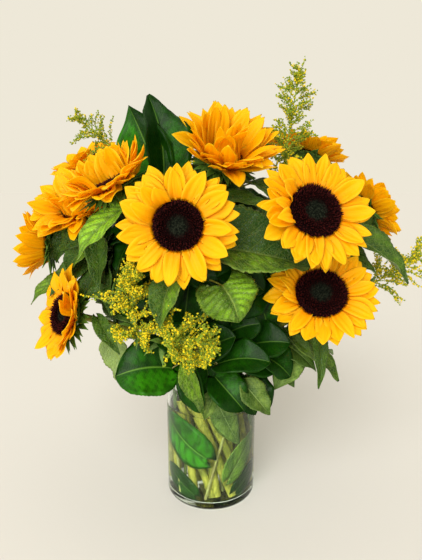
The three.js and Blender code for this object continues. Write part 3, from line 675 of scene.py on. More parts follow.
def chance(tree, seed, more, low, high):
    """A random number, or a random vector, between low and high"""
    vector = isinstance(low, tuple)
    made = add(tree, "FunctionNodeRandomValue", {"Seed": sums(tree, "ADD", seed, more)},
               data_type="FLOAT_VECTOR" if vector else "FLOAT")
    first = 0 if vector else 2
    made.inputs[first].default_value = low
    made.inputs[first + 1].default_value = high
    return made.outputs[0 if vector else 1]


def floret_tree():
    """Florets on points: buds inside, bristly tubes outside"""
    tree, names, given = new_tree("florets", "Disc", {
        "Seats": ("Geometry", None), "Seed": ("Int", 1), "Bud size": ("Float", 0.0009),
        "Bristle length": ("Float", 0.0036), "Finish": ("Material", None)})
    bud = add(tree, "GeometryNodeMeshIcoSphere", {"Radius": given["Bud size"], "Subdivisions": 1})
    bristle = add(tree, "GeometryNodeMeshCone", {
        "Vertices": 5, "Radius Top": 0.00012, "Radius Bottom": 0.00085,
        "Depth": given["Bristle length"]})
    height = add(tree, "ShaderNodeSeparateXYZ", {0: add(tree, "GeometryNodeInputPosition")})
    tip = sums(tree, "DIVIDE", height.outputs[2], given["Bristle length"])
    bristle = add(tree, "GeometryNodeStoreNamedAttribute", {
        0: bristle, "Name": "tip", "Value": tip}, data_type="FLOAT")
    seed = given["Seed"]
    sideways = chance(tree, seed, 1, -WAVER, WAVER)
    outward = sums(tree, "ADD", named_value(tree, "lean"), chance(tree, seed, 2, -WAVER, WAVER))
    lean = add(tree, "ShaderNodeCombineXYZ", {0: sideways, 1: outward, 2: named_value(tree, "turn")})
    spun = add(tree, "FunctionNodeEulerToRotation", {0: lean})
    size = sums(tree, "MULTIPLY", named_value(tree, "size"), chance(tree, seed, 3, 0.7, 1.5))
    even = add(tree, "ShaderNodeCombineXYZ", {0: size, 1: size, 2: size})
    outer = add(tree, "FunctionNodeCompare", {0: named_value(tree, "share"), 1: BUD_SHARE},
                operation="GREATER_THAN")
    middle = add(tree, "FunctionNodeBooleanMath", {0: outer}, operation="NOT")
    joined = add(tree, "GeometryNodeJoinGeometry")
    for shape, chosen in ((bristle, outer), (bud, middle)):
        group = add(tree, "GeometryNodeInstanceOnPoints", {
            "Points": given["Seats"], "Selection": chosen, "Instance": shape, "Rotation": spun,
            "Scale": even})
        tree.links.new(group.outputs[0], joined.inputs[0])
    whole = add(tree, "GeometryNodeRealizeInstances", {0: joined})
    smooth = add(tree, "GeometryNodeSetShadeSmooth", {0: whole})
    tree_end(tree, add(tree, "GeometryNodeSetMaterial", {0: smooth, "Material": given["Finish"]}))
    return tree, names


def seed_finish():
    """Near black buds in the middle, maroon florets with lighter tips round them"""
    material, tree = new_material("seed_brown")
    fine = grain(tree, add(tree, "ShaderNodeTexCoord").outputs["Object"], 600.0, 2.0)
    heart = mix_colour(tree, ranged(tree, fine, 0.4, 0.7),
                       (0.001, 0.002, 0.001, 1), (0.02, 0.024, 0.015, 1))
    rim = mix_colour(tree, ranged(tree, marked(tree, "tip"), 0.45, 1.0),
                     (0.006, 0.001, 0.0012, 1), (0.06, 0.008, 0.007, 1))
    rim = mix_colour(tree, ranged(tree, fine, 0.5, 0.8, 0.0, 0.5), rim, (0.02, 0.006, 0.008, 1))
    colour = mix_colour(tree, ranged(tree, marked(tree, "share"), 0.3, 0.52), heart, rim)
    surface(tree, colour, roughness=0.9, shine=0.05)
    return material


florets, floret_inputs = floret_tree()
seed_brown = seed_finish()
for bloom in BLOOMS:
    disc = bloom["disc"]
    count = int(FLORETS * (disc / USUAL_DISC) ** 2)
    order = np.arange(count)
    share = np.sqrt((order + 0.5) / count)
    angle = np.radians(order * GOLDEN_TURN)
    radius = share * (disc - SEAT_MARGIN)
    seats = np.stack([radius * np.cos(angle), radius * np.sin(angle), eased(dome, share)], axis=1)
    rising = np.clip((share - 0.4) / 0.5, 0, 1)
    jitter = random_source(bloom["seed"] + 3000)
    mixed = share + np.array([(jitter() - 0.5) * 0.14 for _ in order])
    seeds = grown(bloom["name"] + "_seeds", seats, [], {
        "share": mixed, "turn": angle, "lean": share ** 4 - 0.1,
        "size": np.where(mixed < BUD_SHARE, 0.8 + 0.3 * share, 0.55 + 0.62 * rising)},
        florets, floret_inputs, {"Seed": bloom["seed"], "Finish": seed_brown})
    base_points, base_faces = turned(
        [(0, -FLORET_DEPTH), (disc - 1, -FLORET_DEPTH), (disc, -2.4)]
        + [(disc * s, float(eased(dome, np.array([s]))[0])) for s in (0.98, 0.85, 0.7, 0.5, 0.3)]
        + [(0, 0.4)], BED_STEPS)
    bed = mesh_object(bloom["name"] + "_seed_bed", base_points, base_faces, seed_brown)
    bed.data.attributes.new("share", "FLOAT", "POINT").data.foreach_set(
        "value", np.linalg.norm(base_points[:, :2], axis=1) / disc)
    turn = np.eye(4)
    turn[:3, :3] = bloom_turn(bloom)
    turn[:3, 3] = np.array(bloom["head"]) * MM
    for piece in (seeds, bed):
        piece.data.transform(Matrix(turn))
        finish_piece(piece, "seed_disc", bloom["name"] + "_disc")

# Leaves on the sunflower stems
# Broad heart-shaped leaves on short stalks, toothed at the edge, quilted between their side veins
# and rough to the touch. Two hang in the water, pressed against the glass.
heart_outline = [(0, 0.6), (0.05, 0.86), (0.13, 1.0), (0.32, 1.04), (0.58, 0.9), (0.8, 0.56),
                 (0.93, 0.24), (1, 0.02)]
pointed_outline = [(0, 0.3), (0.15, 0.66), (0.38, 0.96), (0.58, 1.0), (0.76, 0.74), (0.89, 0.34),
                   (1, 0.02)]
broad_outline = [(0, 0.14), (0.06, 0.55), (0.16, 0.86), (0.34, 1.0), (0.58, 0.84), (0.82, 0.42),
                 (0.94, 0.16), (1, 0.02)]
SIDE_VEINS = 7
VEIN_SLOPE = 0.34
LEAF_THICKNESS = 0.7
LEAF_GRID = (45, 17)
SMALL_GRID = (31, 11)
USUAL_LEAF = dict(teeth=0.07, roll=0.5, wave=2.2, arch=0.08, fold=0.35, quilt=1.1, lobe=0.12, droop=0.06)
STALK_GIRTH = (1.5, 0.9)
STALK_RISE = 4
SLIM = {"Sides": 8, "Ridge": 0.0}
# How much fresher a leaf's green is where its tone is below 0: partly a young leaf's own colour, partly
# painted light on lit halves.
YOUNG_AND_LIT_LEAF = (1.45, 1.5, 1.8)
GLASS_SIDE = 54.4
FLAT = dict(up=(0, -1, 0), arch=0, fold=0, wave=0.4, quilt=0.9, roll=0, droop=0, teeth=0.03)
# A leaf grows at a share of its stem's bend and turns its face to up. A tone below 0 is a fresher green,
# partly painted light, and one above 0 a darker green, partly painted shade on leaves deep in the bunch.
# A pair of tones for the two sides of the midrib paints light on one half and shade on the other, as
# painted shading of the fold.
SUNKEN = {
    "left_lower": dict(FLAT, base=(-5, 0, 73), tip=(-72, 0, 116), half=26, fold_shade_halves=(0.35, 0.8)),
    "front": dict(FLAT, base=(22, 0, 42), tip=(74, 0, 100), half=18, fold_shade_halves=(0.5, 0.2)),
}
LEAVES = {
    "front": [
        dict(at=0.6, base=(-37, -112, 326), tip=(-53, -136, 273), up=(-0.3, -0.85, 0.4), half=18,
             fold_shade_halves=(-0.2, 0.8), quilt=2, fold=0.5),
        dict(at=0.52, base=(12, -114, 312), tip=(30, -126, 276), up=(0.05, -0.85, 0.5), half=32,
             fold_shade_halves=(-0.9, -0.15), wave=5, quilt=6, fold=-0.2, arch=0.12, lobe=0.3, roll=0,
             outline="heart")],
    "right_upper": [
        dict(at=0.62, base=(12, -94, 350), tip=(109, -92, 332), up=(0.02, -0.72, 0.69), half=37,
             fold=0.55, fold_shade_halves=(1.2, 0.1), wave=4, quilt=4, lobe=0.2, outline="heart")],
    "right_lower": [
        dict(at=0.5, base=(92, -38, 232), tip=(160, -48, 180), up=(0.4, -0.5, 0.75), half=20),
        dict(at=0.62, base=(128, -62, 246), tip=(126, -86, 185), up=(0.1, -0.9, 0.3), half=9)],
    "left_upper": [
        dict(at=0.7, base=(-130, -40, 346), tip=(-128, -78, 300), up=(-0.2, -0.9, 0.3), half=13,
             tone=0.9, fold=0.8)],
    "left_high": [
        dict(at=0.74, base=(-90, -112, 392), tip=(-138, -124, 343), up=(-0.3, -0.6, 0.7), half=19,
             tone=-1.2, quilt=2, fold=0.3, roll=0)],
    "far_left": [
        dict(at=0.8, base=(-180, 0, 310), tip=(-234, -8, 268), up=(-0.5, -0.7, 0.5), half=12)],
    "left_lower": [
        dict(at=0.72, base=(-134, -66, 262), tip=(-104, -92, 229), up=(-0.2, -0.6, 0.8), half=10,
             tone=0.7),
        dict(at=0.6, base=(-120, -62, 232), tip=(-94, -80, 182), up=(0.5, 0.8, -0.3), half=18, tone=0,
             wave=4, quilt=2.5, fold=-0.4)],
    "top": [
        dict(at=0.8, base=(14, -62, 402), tip=(66, -82, 386), up=(0.2, -0.6, 0.8), half=14)],
    "top_back": [
        dict(at=0.75, base=(34, 96, 412), tip=(26, 142, 366), up=(0, 0.8, 0.5), half=22)],
    "right_back": [
        dict(at=0.7, base=(118, 92, 376), tip=(150, 140, 326), up=(0.4, 0.7, 0.5), half=22)],
    "right_far": [
        dict(at=0.72, base=(168, -40, 356), tip=(230, -66, 308), up=(0.4, -0.6, 0.75), half=22,
             tone=0.6, fold=0.5)],
    "left_back": [
        dict(at=0.6, base=(-112, 92, 336), tip=(-148, 132, 286), up=(-0.4, 0.8, 0.4), half=22)],
}


def leaf_part(leaf, draw, outline=broad_outline, grid=LEAF_GRID):
    """Leaf blade from base to tip, quilted between its side veins"""
    leaf = {**USUAL_LEAF, **leaf}
    rows, columns = grid
    along_leaf, across_leaf = np.linspace(0, 1, rows), np.linspace(-1, 1, columns)
    base, tip = np.array(leaf["base"], float), np.array(leaf["tip"], float)
    length = np.linalg.norm(tip - base)
    along = (tip - base) / length
    side = unit(np.cross(along, leaf["up"]))
    face = np.cross(side, along)
    t, s = along_leaf[:, None], across_leaf[None, :]
    a = np.abs(s)
    outline = {"heart": heart_outline, "pointed": pointed_outline}.get(leaf.get("outline"), outline)
    width = eased(outline, along_leaf)[:, None] * leaf["half"]
    saw = (t * 15) % 1
    width = width * (1 + leaf["teeth"] * (saw - 0.5) * (a > 0.93))
    phase = SIDE_VEINS * (t - VEIN_SLOPE * a) + 0.5 * (s > 0)
    pillow = np.abs(np.sin(math.pi * phase)) * (0.75 + 0.25 * np.sin(9 * a + 5 * phase))
    quilt = pillow * np.minimum(a * 3, 1) * (1 - a ** 3) * np.minimum(1, (1 - t) * 3)
    rib = -np.exp(-(s / 0.07) ** 2) * (1 - t * 0.7)
    swing = draw() * 6.28
    roll = (draw() - 0.5) * leaf["roll"]
    swell = np.sin(9 * t + swing + 1.5 * (s > 0)) + 0.5 * np.sin(19 * t + swing)
    above = (leaf["arch"] * length * 4 * t * (1 - t) + leaf["fold"] * width * a ** 1.2
             + roll * width * s * (2 * t - 1)
             + leaf["quilt"] * quilt + leaf["quilt"] * 0.9 * rib + leaf["wave"] * a ** 2 * swell)
    back = leaf["lobe"] * length * a ** 2 * np.clip(1 - t * 3, 0, 1) ** 2
    droop = leaf["droop"] * length * t ** 3
    drift = (draw() - 0.5) * 0.1 * length * np.sin(math.pi * t)
    middle = (base + along * (length * t - back)[..., None] + side * (width * s + drift)[..., None]
              + face * above[..., None] - np.array([0, 0, 1]) * (droop * np.ones_like(s))[..., None])
    tone = leaf.get("tone", draw())
    # Each side of the midrib gets its own tone: painted light on one half and painted shade on the other,
    # standing for the shading of the fold.
    if "fold_shade_halves" in leaf:
        middles = (across_leaf[1:] + across_leaf[:-1]) / 2
        tone = np.tile(np.interp(middles, (-0.1, 0.1), leaf["fold_shade_halves"]), (rows - 1) * 2)
    # The quilt heights go along to paint shade in the creases.
    return blade_part(middle, LEAF_THICKNESS, tone, quilt * (a < 0.99) + (a >= 0.99) * 0.5)


def pressed(part, side):
    """Bends a flat upright leaf round the inside of the glass"""
    across, inward, height = part["points"].T
    turn, radius = across / side, side - inward
    part["points"] = np.stack([radius * np.sin(turn), -radius * np.cos(turn), height], axis=1)
    return part


def leaf_stalk(curve, leaf):
    """Points of a leaf's stalk, from its stem to a little inside the blade"""
    root = bezier(curve["corners"], [leaf["at"]])[0]
    base, tip = np.array(leaf["base"], float), np.array(leaf["tip"], float)
    inside = base + unit(tip - base) * 2
    crest = (root + base) / 2 + np.array([0, 0, STALK_RISE])
    return bezier([root, crest, inside], np.linspace(0, 1, 9))


def leaf_finish(name, face, deep, vein, pale, roughness, relief, shine, net=0.16, rim=0.2, side=0.6):
    """Leaf skin with light veins, a painted highlight along the rim, painted shade in the creases and
    paler underneath
    """
    material, tree = new_material(name)
    place = add(tree, "ShaderNodeTexCoord")
    chart = add(tree, "ShaderNodeSeparateXYZ", {0: place.outputs["UV"]})
    across = sums(tree, "ABSOLUTE", sums(tree, "MULTIPLY_ADD", chart.outputs[0], 2.0, -1.0))
    offset = sums(tree, "MULTIPLY", sums(tree, "GREATER_THAN", chart.outputs[0], 0.5), 0.5)
    along = sums(tree, "SUBTRACT", chart.outputs[1], sums(tree, "MULTIPLY", across, VEIN_SLOPE))
    phase = sums(tree, "ADD", sums(tree, "MULTIPLY", along, float(SIDE_VEINS)), offset)
    near = sums(tree, "PINGPONG", phase, 0.5)
    branch = ranged(tree, near, 0.0, 0.07, 1.0, 0.0)
    branch = sums(tree, "MULTIPLY", branch, ranged(tree, across, 0.55, 1.0, 1.0, 0.0))
    rib = ranged(tree, across, 0.0, 0.055, 1.0, 0.0)
    veins = sums(tree, "MAXIMUM", rib, sums(tree, "MULTIPLY", branch, side))
    patch = grain(tree, place.outputs["Object"], 60.0, 4.0)
    cells = add(tree, "ShaderNodeTexVoronoi", {0: place.outputs["Object"], "Scale": 300.0},
                feature="DISTANCE_TO_EDGE")
    colour = mix_colour(tree, ranged(tree, patch, 0.3, 0.7), deep, face)
    tone = marked(tree, "tone")
    # Tones below 0 lean to a fresher green, which also stands as painted light on the lit half of a
    # folded leaf.
    fresh_and_lit = tuple(min(1.0, part * more) for part, more in zip(face, YOUNG_AND_LIT_LEAF)) + (1,)
    colour = mix_colour(tree, sums(tree, "MULTIPLY", tone, -1.0), colour, fresh_and_lit)
    # Tones above 0 lean to the deep green, which also stands as painted shade on leaves deep in the
    # bunch.
    colour = mix_colour(tree, sums(tree, "MULTIPLY", tone, 0.8), colour, deep)
    # Painted shade in the creases: the leaf darkens to its deep green where the quilt sinks.
    colour = mix_colour(tree, ranged(tree, marked(tree, "puff"), 0.0, 0.5, 0.75, 0.0), colour, deep)
    colour = mix_colour(tree, sums(tree, "MULTIPLY", marked(tree, "under"), 0.8), colour, pale)
    vein = mix_colour(tree, sums(tree, "MULTIPLY", tone, 0.5), vein, deep)
    colour = mix_colour(tree, ranged(tree, cells, 0.0, 0.2, net, 0.0), colour, vein)
    # A painted highlight along the rim of the leaf.
    colour = mix_colour(tree, ranged(tree, across, 0.9, 1.0, 0.0, rim), colour, vein)
    colour = mix_colour(tree, sums(tree, "MULTIPLY", veins, 0.75), colour, vein)
    height = sums(tree, "SUBTRACT", ranged(tree, cells, 0.0, 0.2), sums(tree, "MULTIPLY", veins, 1.2))
    surface(tree, colour, roughness, shine, relief=bumps(tree, height, relief, depth=0.0005),
            glow=colour, share=0.18)
    return material


# Smaller leaves that fill the gaps between the blooms; the darkest of them stand as painted shade in
# those gaps.
SMALL_LEAVES = {
    "front": [
        dict(at=0.5, base=(-30, -96, 214), tip=(-8, -108, 163), up=(-0.3, -0.8, 0.3), half=11, tone=0,
             fold=0.6)],
    "left_upper": [
        dict(at=0.6, base=(-100, -52, 306), tip=(-146, -68, 290), up=(-0.2, -0.8, 0.6), half=15,
             tone=1),
        dict(at=0.7, base=(-140, -34, 352), tip=(-128, -70, 306), up=(0.2, -0.9, 0.3), half=13, tone=1,
             fold=0.9),
        dict(at=0.8, base=(-150, -26, 364), tip=(-190, -24, 338), up=(-0.2, -0.8, 0.5), half=18,
             tone=1),
        dict(at=0.6, base=(-98, -74, 330), tip=(-108, -104, 296), up=(0.6, -0.7, 0.2), half=12,
             fold_shade_halves=(0.1, 1), fold=0.9)],
    "left_high": [
        dict(at=0.8, base=(-84, -84, 398), tip=(-120, -90, 384), up=(-0.2, -0.7, 0.7), half=15, tone=1),
        dict(at=0.7, base=(-70, -64, 396), tip=(-98, -60, 424), up=(-0.1, -0.9, 0.3), half=14, tone=1)],
    "far_left": [
        dict(at=0.7, base=(-152, -16, 326), tip=(-200, -36, 284), up=(-0.2, -0.8, 0.5), half=17,
             tone=0.9),
        dict(at=0.6, base=(-136, -26, 318), tip=(-156, -58, 262), up=(-0.4, -0.8, 0.3), half=16,
             tone=1),
        dict(at=0.8, base=(-146, -34, 342), tip=(-178, -30, 314), up=(-0.3, -0.8, 0.3), half=16,
             fold_shade_halves=(0.3, 1), fold=0.8),
        dict(at=0.6, base=(-126, -30, 326), tip=(-118, -64, 266), up=(0.1, -0.9, 0.3), half=16,
             tone=0.8, fold=0.8),
        dict(at=0.8, base=(-178, -4, 366), tip=(-200, -2, 320), up=(-0.1, -0.95, 0.3), half=15, tone=1)],
    "top": [
        dict(at=0.8, base=(42, -58, 418), tip=(80, -76, 398), up=(0.2, -0.6, 0.8), half=14),
        dict(at=0.7, base=(2, -60, 420), tip=(-40, -72, 404), up=(-0.2, -0.6, 0.8), half=15, tone=0.8),
        dict(at=0.8, base=(6, -40, 420), tip=(-30, -38, 440), up=(-0.1, -0.8, 0.5), half=14, tone=0.9),
        dict(at=0.7, base=(-12, -22, 410), tip=(54, -26, 428), up=(0, -0.95, 0.3), half=17, tone=0.9)],
    "right_far": [
        dict(at=0.6, base=(148, -30, 334), tip=(198, -50, 314), up=(0.3, -0.7, 0.7), half=17),
        dict(at=0.5, base=(150, -20, 300), tip=(190, -44, 262), up=(0.3, -0.8, 0.5), half=16)],
}
sunflower_leaf = leaf_finish(
    "sunflower_leaf", face=(0.17, 0.34, 0.007, 1), deep=(0.016, 0.062, 0.003, 1),
    vein=(0.3, 0.42, 0.07, 1), pale=(0.27, 0.37, 0.13, 1),
    roughness=0.42, relief=1.0, shine=0.3, net=0.26, rim=0.6)
for bloom in BLOOMS:
    draw = random_source(bloom["seed"] + 2000)
    small = SMALL_LEAVES.get(bloom["name"], [])
    leaves = LEAVES[bloom["name"]] + small
    parts = [leaf_part(leaf, draw) for leaf in LEAVES[bloom["name"]]]
    parts += [leaf_part(leaf, draw, grid=SMALL_GRID) for leaf in small]
    if bloom["name"] in SUNKEN:
        parts.append(pressed(leaf_part(SUNKEN[bloom["name"]], draw), GLASS_SIDE))
    blades = blades_object(bloom["name"] + "_leaves", parts, sunflower_leaf)
    course = chains([leaf_stalk(bloom["curve"], leaf) for leaf in leaves], [STALK_GIRTH] * len(leaves))
    twigs = grown(bloom["name"] + "_leaf_stalks", *course, stalks, stalk_inputs,
                  {**SLIM, "Skin": stem_green})
    for piece in (blades, twigs):
        finish_piece(piece, "sunflower_green", bloom["name"] + "_stem")

# Leafy branches
# Thin woody stems with smooth, thick, dark leaves make a collar over the rim, with two branches of
# softer olive leaves. Their leaves also fill the bunch and hang in the water, by three cut stems.
smooth_outline = [(0, 0.2), (0.08, 0.62), (0.22, 0.92), (0.45, 1.0), (0.68, 0.9), (0.85, 0.62),
                  (0.96, 0.28), (1, 0.03)]
BRANCHES = [
    dict(name="collar_front", kind="dark", waist=(24.5, -98), tip=(-14, -92, 236),
         facing=(0, -0.5, 0.8)),
    dict(name="collar_right", kind="dark", waist=(50.5, -50), tip=(48, -70, 214),
         facing=(0.3, -0.5, 0.8), slant=(0.262, 0.084, 1)),
    dict(name="collar_side", kind="olive", waist=(42.5, -24), tip=(96, -30, 214),
         facing=(0.7, -0.2, 0.6)),
    dict(name="upright_leaf", kind="dark", waist=(24, -160), tip=(-54, -52, 392), facing=(-0.1, 0, 1),
         rise=0.6),
    dict(name="collar_left", kind="olive", waist=(42.5, -172), tip=(-96, 6, 232),
         facing=(-0.8, 0, 0.6)),
    dict(name="back_right", kind="dark", waist=(42.5, 80), tip=(52, 92, 262), facing=(0.3, 0.6, 0.7)),
    dict(name="back_left", kind="dark", waist=(42.5, 118), tip=(-40, 92, 250), facing=(-0.3, 0.6, 0.7)),
]
BRANCH_LEAVES = {
    "collar_front": [
        dict(at=0.75, base=(-44, -84, 206), tip=(-108, -104, 208), up=(-0.2, -0.84, 0.48), half=34,
             fold_shade_halves=(-0.5, 0.5), wave=4, arch=0.12, teeth=0.03),
        dict(at=0.6, base=(-28, -90, 212), tip=(-12, -104, 163), up=(-0.2, -0.9, 0.2), half=15),
        dict(at=0.9, base=(6, -92, 214), tip=(66, -112, 228), up=(0.1, -0.66, 0.75), half=22,
             tone=0.85),
        dict(base=(-34, -66, 212), tip=(-74, -90, 190), up=(-0.4, -0.8, 0.4), half=20),
        dict(base=(-22, -86, 236), tip=(-62, -100, 246), up=(-0.2, -0.8, 0.5), half=20),
        dict(base=(-12, -72, 226), tip=(28, -96, 252), up=(0.1, -0.8, 0.6), half=24, tone=0.95),
        dict(base=(-6, -66, 204), tip=(-2, -84, 158), up=(0, -0.9, 0.3), half=15)],
    "collar_right": [
        dict(at=0.6, base=(4, -84, 196), tip=(38, -106, 166), up=(0.2, -0.8, 0.5), half=22,
             fold_shade_halves=(0.3, 0.95)),
        dict(at=0.7, base=(42, -70, 192), tip=(68, -88, 158), up=(0.4, -0.8, 0.4), half=18, tone=0.9),
        dict(at=0.9, base=(56, -64, 216), tip=(94, -80, 196), up=(0.4, -0.6, 0.7), half=24, tone=0.8),
        dict(base=(44, -62, 226), tip=(92, -84, 240), up=(0.2, -0.8, 0.6), half=24, tone=1),
        dict(base=(30, -60, 210), tip=(86, -70, 206), up=(0.2, -0.7, 0.6), half=22, tone=1),
        dict(base=(22, -66, 196), tip=(54, -78, 148), up=(0.2, -0.9, 0.2), half=14, tone=0.9),
        dict(base=(12, -64, 236), tip=(58, -80, 262), up=(0.1, -0.8, 0.5), half=22, tone=0.95)],
    "collar_side": [
        dict(at=0.8, base=(104, -48, 216), tip=(76, -70, 176), up=(0.2, -0.8, 0.5), half=19, tone=-0.6),
        dict(at=0.9, base=(104, -18, 214), tip=(164, 0, 196), up=(0.2, 0, 1), half=20),
        dict(base=(84, -40, 226), tip=(128, -62, 196), up=(0.4, -0.7, 0.5), half=20),
        dict(base=(70, -30, 214), tip=(104, -52, 172), up=(0.4, -0.7, 0.4), half=18),
        dict(base=(38, -90, 190), tip=(68, -100, 158), up=(0.3, -0.8, 0.5), half=17, tone=0),
        dict(base=(4, -90, 178), tip=(-8, -98, 150), up=(-0.2, -0.8, 0.5), half=10, tone=0)],
    "upright_leaf": [
        dict(at=0.97, base=(-56, -48, 402), tip=(-72, -38, 524), up=(0.45, -0.89, 0), half=27,
             fold=0.8, fold_shade_halves=(1.2, 0.5), wave=6, teeth=0.05, outline="pointed"),
        dict(base=(-58, -44, 396), tip=(-93, -46, 504), up=(-0.2, -0.97, 0), half=31, fold=0.3,
             fold_shade_halves=(-0.6, 0.9), wave=6, arch=-0.06, droop=0, outline="pointed"),
        dict(base=(-44, -56, 398), tip=(-8, -64, 430), up=(0.1, -0.8, 0.6), half=17, tone=0.9)],
    "collar_left": [
        dict(at=0.8, base=(-92, -4, 240), tip=(-142, -14, 296), up=(-0.6, -0.6, 0.4), half=22),
        dict(at=0.9, base=(-104, 16, 232), tip=(-160, 40, 226), up=(-0.2, 0, 1), half=22),
        dict(base=(-60, -40, 224), tip=(-104, -62, 196), up=(-0.3, -0.7, 0.6), half=19),
        dict(base=(-66, -34, 246), tip=(-118, -52, 262), up=(-0.3, -0.7, 0.6), half=20)],
    "back_right": [
        dict(at=0.6, base=(40, 82, 216), tip=(70, 136, 196), up=(0.3, 0.5, 0.8), half=26),
        dict(at=0.8, base=(74, 84, 246), tip=(132, 118, 256), up=(0.2, 0.6, 0.8), half=26),
        dict(at=0.95, base=(40, 104, 280), tip=(10, 142, 320), up=(0.1, 0.9, 0.3), half=24)],
    "back_left": [
        dict(at=0.6, base=(-30, 82, 206), tip=(-50, 134, 180), up=(-0.3, 0.5, 0.8), half=26),
        dict(at=0.85, base=(-60, 86, 238), tip=(-114, 116, 240), up=(-0.2, 0.6, 0.8), half=26),
        dict(at=0.95, base=(-44, 104, 270), tip=(-66, 146, 316), up=(-0.2, 0.9, 0.3), half=24)],
}
BUNCH_MIDDLE = (-6, 8, 308)
BUNCH_REACH = (150, 92, 108)
SPRIG_LEAVES = 130
SPRIG_SEED = 77
LOOSE_AT = 0.7
BRANCH_GRID = (35, 13)
SPRIG_GRID = (21, 9)
SUNKEN_GRID = (25, 9)
BRANCH_GIRTH = (2.0, 1.4)
TWIG_GIRTH = (1.2, 0.8)
UNDER_WATER = {
    "collar_front": [
        dict(FLAT, base=(-4, 0, 72), tip=(-73, 0, 118), half=28, fold_shade_halves=(-0.75, -0.2), side=55.3),
        dict(FLAT, base=(-20, 0, 16), tip=(-70, 0, 44), half=17, tone=0.7),
        dict(FLAT, base=(150, 0, 40), tip=(190, 0, 110), half=24, tone=1)],
    "collar_right": [
        dict(FLAT, base=(30, 0, 18), tip=(74, 0, 48), half=15, tone=1),
        dict(FLAT, base=(-120, 0, 24), tip=(-160, 0, 106), half=24, tone=1),
        dict(FLAT, base=(-170, 0, 14), tip=(-175, 0, 70), half=20, tone=1)],
    "collar_side": [
        dict(FLAT, base=(8, 0, 148), tip=(38, 0, 84), half=17, tone=0),
        dict(FLAT, base=(60, 0, 140), tip=(96, 0, 80), half=16)],
    "collar_left": [
        dict(FLAT, base=(-60, 0, 150), tip=(-110, 0, 96), half=18),
        dict(FLAT, base=(110, 0, 80), tip=(136, 0, 18), half=20, tone=1)],
}
CUT_STEMS = [
    ((-24, -42, 150), (27, -38, 13), 6.4),
    ((-10, -45, 152), (33, -33, 40), 5.2),
    ((-40, -26, 140), (2, -44, 14), 4.6),
]
dark_leaf = leaf_finish(
    "dark_leaf", face=(0.024, 0.16, 0.002, 1), deep=(0.003, 0.026, 0.001, 1),
    vein=(0.13, 0.3, 0.03, 1), pale=(0.09, 0.2, 0.03, 1),
    roughness=0.34, relief=0.25, shine=0.12, net=0.04, rim=0.1, side=0.15)
olive_leaf = leaf_finish(
    "olive_leaf", face=(0.17, 0.27, 0.04, 1), deep=(0.03, 0.08, 0.006, 1),
    vein=(0.26, 0.36, 0.1, 1), pale=(0.22, 0.32, 0.14, 1),
    roughness=0.45, relief=0.5, shine=0.2, net=0.14, rim=0.4)
wood_green = stem_finish("wood_green", pale=(0.3, 0.33, 0.1, 1), deep=(0.16, 0.13, 0.04, 1),
                         roughness=0.55)


def sprig_leaves(share, spread):
    """Leaves that shingle the rounded inner face of the bunch, one for each share from 0 to 1"""
    leaves = []
    for i, part in enumerate(share):
        rise = 0.96 - 1.5 * part
        angle = math.radians(i * GOLDEN_TURN)
        out = np.array([math.cos(angle) * math.sqrt(1 - rise * rise),
                        math.sin(angle) * math.sqrt(1 - rise * rise), rise])
        middle = BUNCH_MIDDLE + np.array(BUNCH_REACH) * out * (0.86 + spread() * 0.14)
        hang = unit(out * rise - (0, 0, 1))
        swing = (spread() - 0.5) * 2.2
        hang = hang * math.cos(swing) + np.cross(out, hang) * math.sin(swing)
        along = unit(hang * 0.9 + out * (0.1 + spread() * 0.4))
        length = 46 + spread() * 26
        # The inner leaves get dark tones, painted shade deep in the bunch.
        leaves.append(dict(base=middle - along * length / 2, tip=middle + along * length / 2,
                           up=out + np.array([0, 0, 0.25]), half=length * (0.26 + spread() * 0.1),
                           tone=0.7 + spread() * 0.3))
    return leaves


sprigs = {branch["name"]: [] for branch in BRANCHES}
for leaf in sprig_leaves(np.linspace(0, 1, SPRIG_LEAVES), random_source(SPRIG_SEED)):
    away = [np.linalg.norm((leaf["base"] - branch["tip"]) * (1, 1.4, 0.5)) for branch in BRANCHES]
    sprigs[BRANCHES[int(np.argmin(away))]["name"]].append(leaf)

KINDS = {
    "dark": ("dark_leaf", dark_leaf, smooth_outline, dict(teeth=0.0, quilt=0.35, wave=1.8)),
    "olive": ("olive_leaf", olive_leaf, broad_outline, {}),
}
for branch in BRANCHES:
    draw = random_source(len(branch["name"]) * 37)
    slot, leaf_skin, outline, manner = KINDS[branch["kind"]]
    curve = stem_curve(branch, np.array(branch["tip"], float), unit(branch["facing"]))

    def leaf_parts(leaves, grid):
        return [leaf_part({**manner, **leaf}, draw, outline, grid) for leaf in leaves]

    inner = sprigs[branch["name"]]
    sunken = UNDER_WATER.get(branch["name"], [])
    parts = leaf_parts(BRANCH_LEAVES[branch["name"]], BRANCH_GRID) + leaf_parts(inner, SPRIG_GRID)
    parts += [pressed(part, leaf.get("side", GLASS_SIDE - 3))
              for part, leaf in zip(leaf_parts(sunken, SUNKEN_GRID), sunken)]
    blades = blades_object(branch["name"] + "_leaves", parts, leaf_skin)
    held = [{"at": LOOSE_AT, **leaf} for leaf in BRANCH_LEAVES[branch["name"]] + inner]
    paths = [stem_path(curve)] + [leaf_stalk(curve, leaf) for leaf in held]
    girths = [BRANCH_GIRTH] + [TWIG_GIRTH] * len(held)
    twigs = grown(branch["name"] + "_twigs", *chains(paths, girths), stalks, stalk_inputs,
                  {**SLIM, "Skin": wood_green})
    for piece in (blades, twigs):
        finish_piece(piece, slot, branch["name"])
    if branch["name"] == "collar_front":
        paths = [np.linspace(high, low, 8) for high, low, _ in CUT_STEMS]
        girths = [(girth, girth * 0.95) for _, _, girth in CUT_STEMS]
        thick = grown("collar_front_cut_stems", *chains(paths, girths), stalks, stalk_inputs,
                      {"Sides": 16, "Ridge": 0.09, "Skin": stem_green})
        finish_piece(thick, slot, branch["name"])

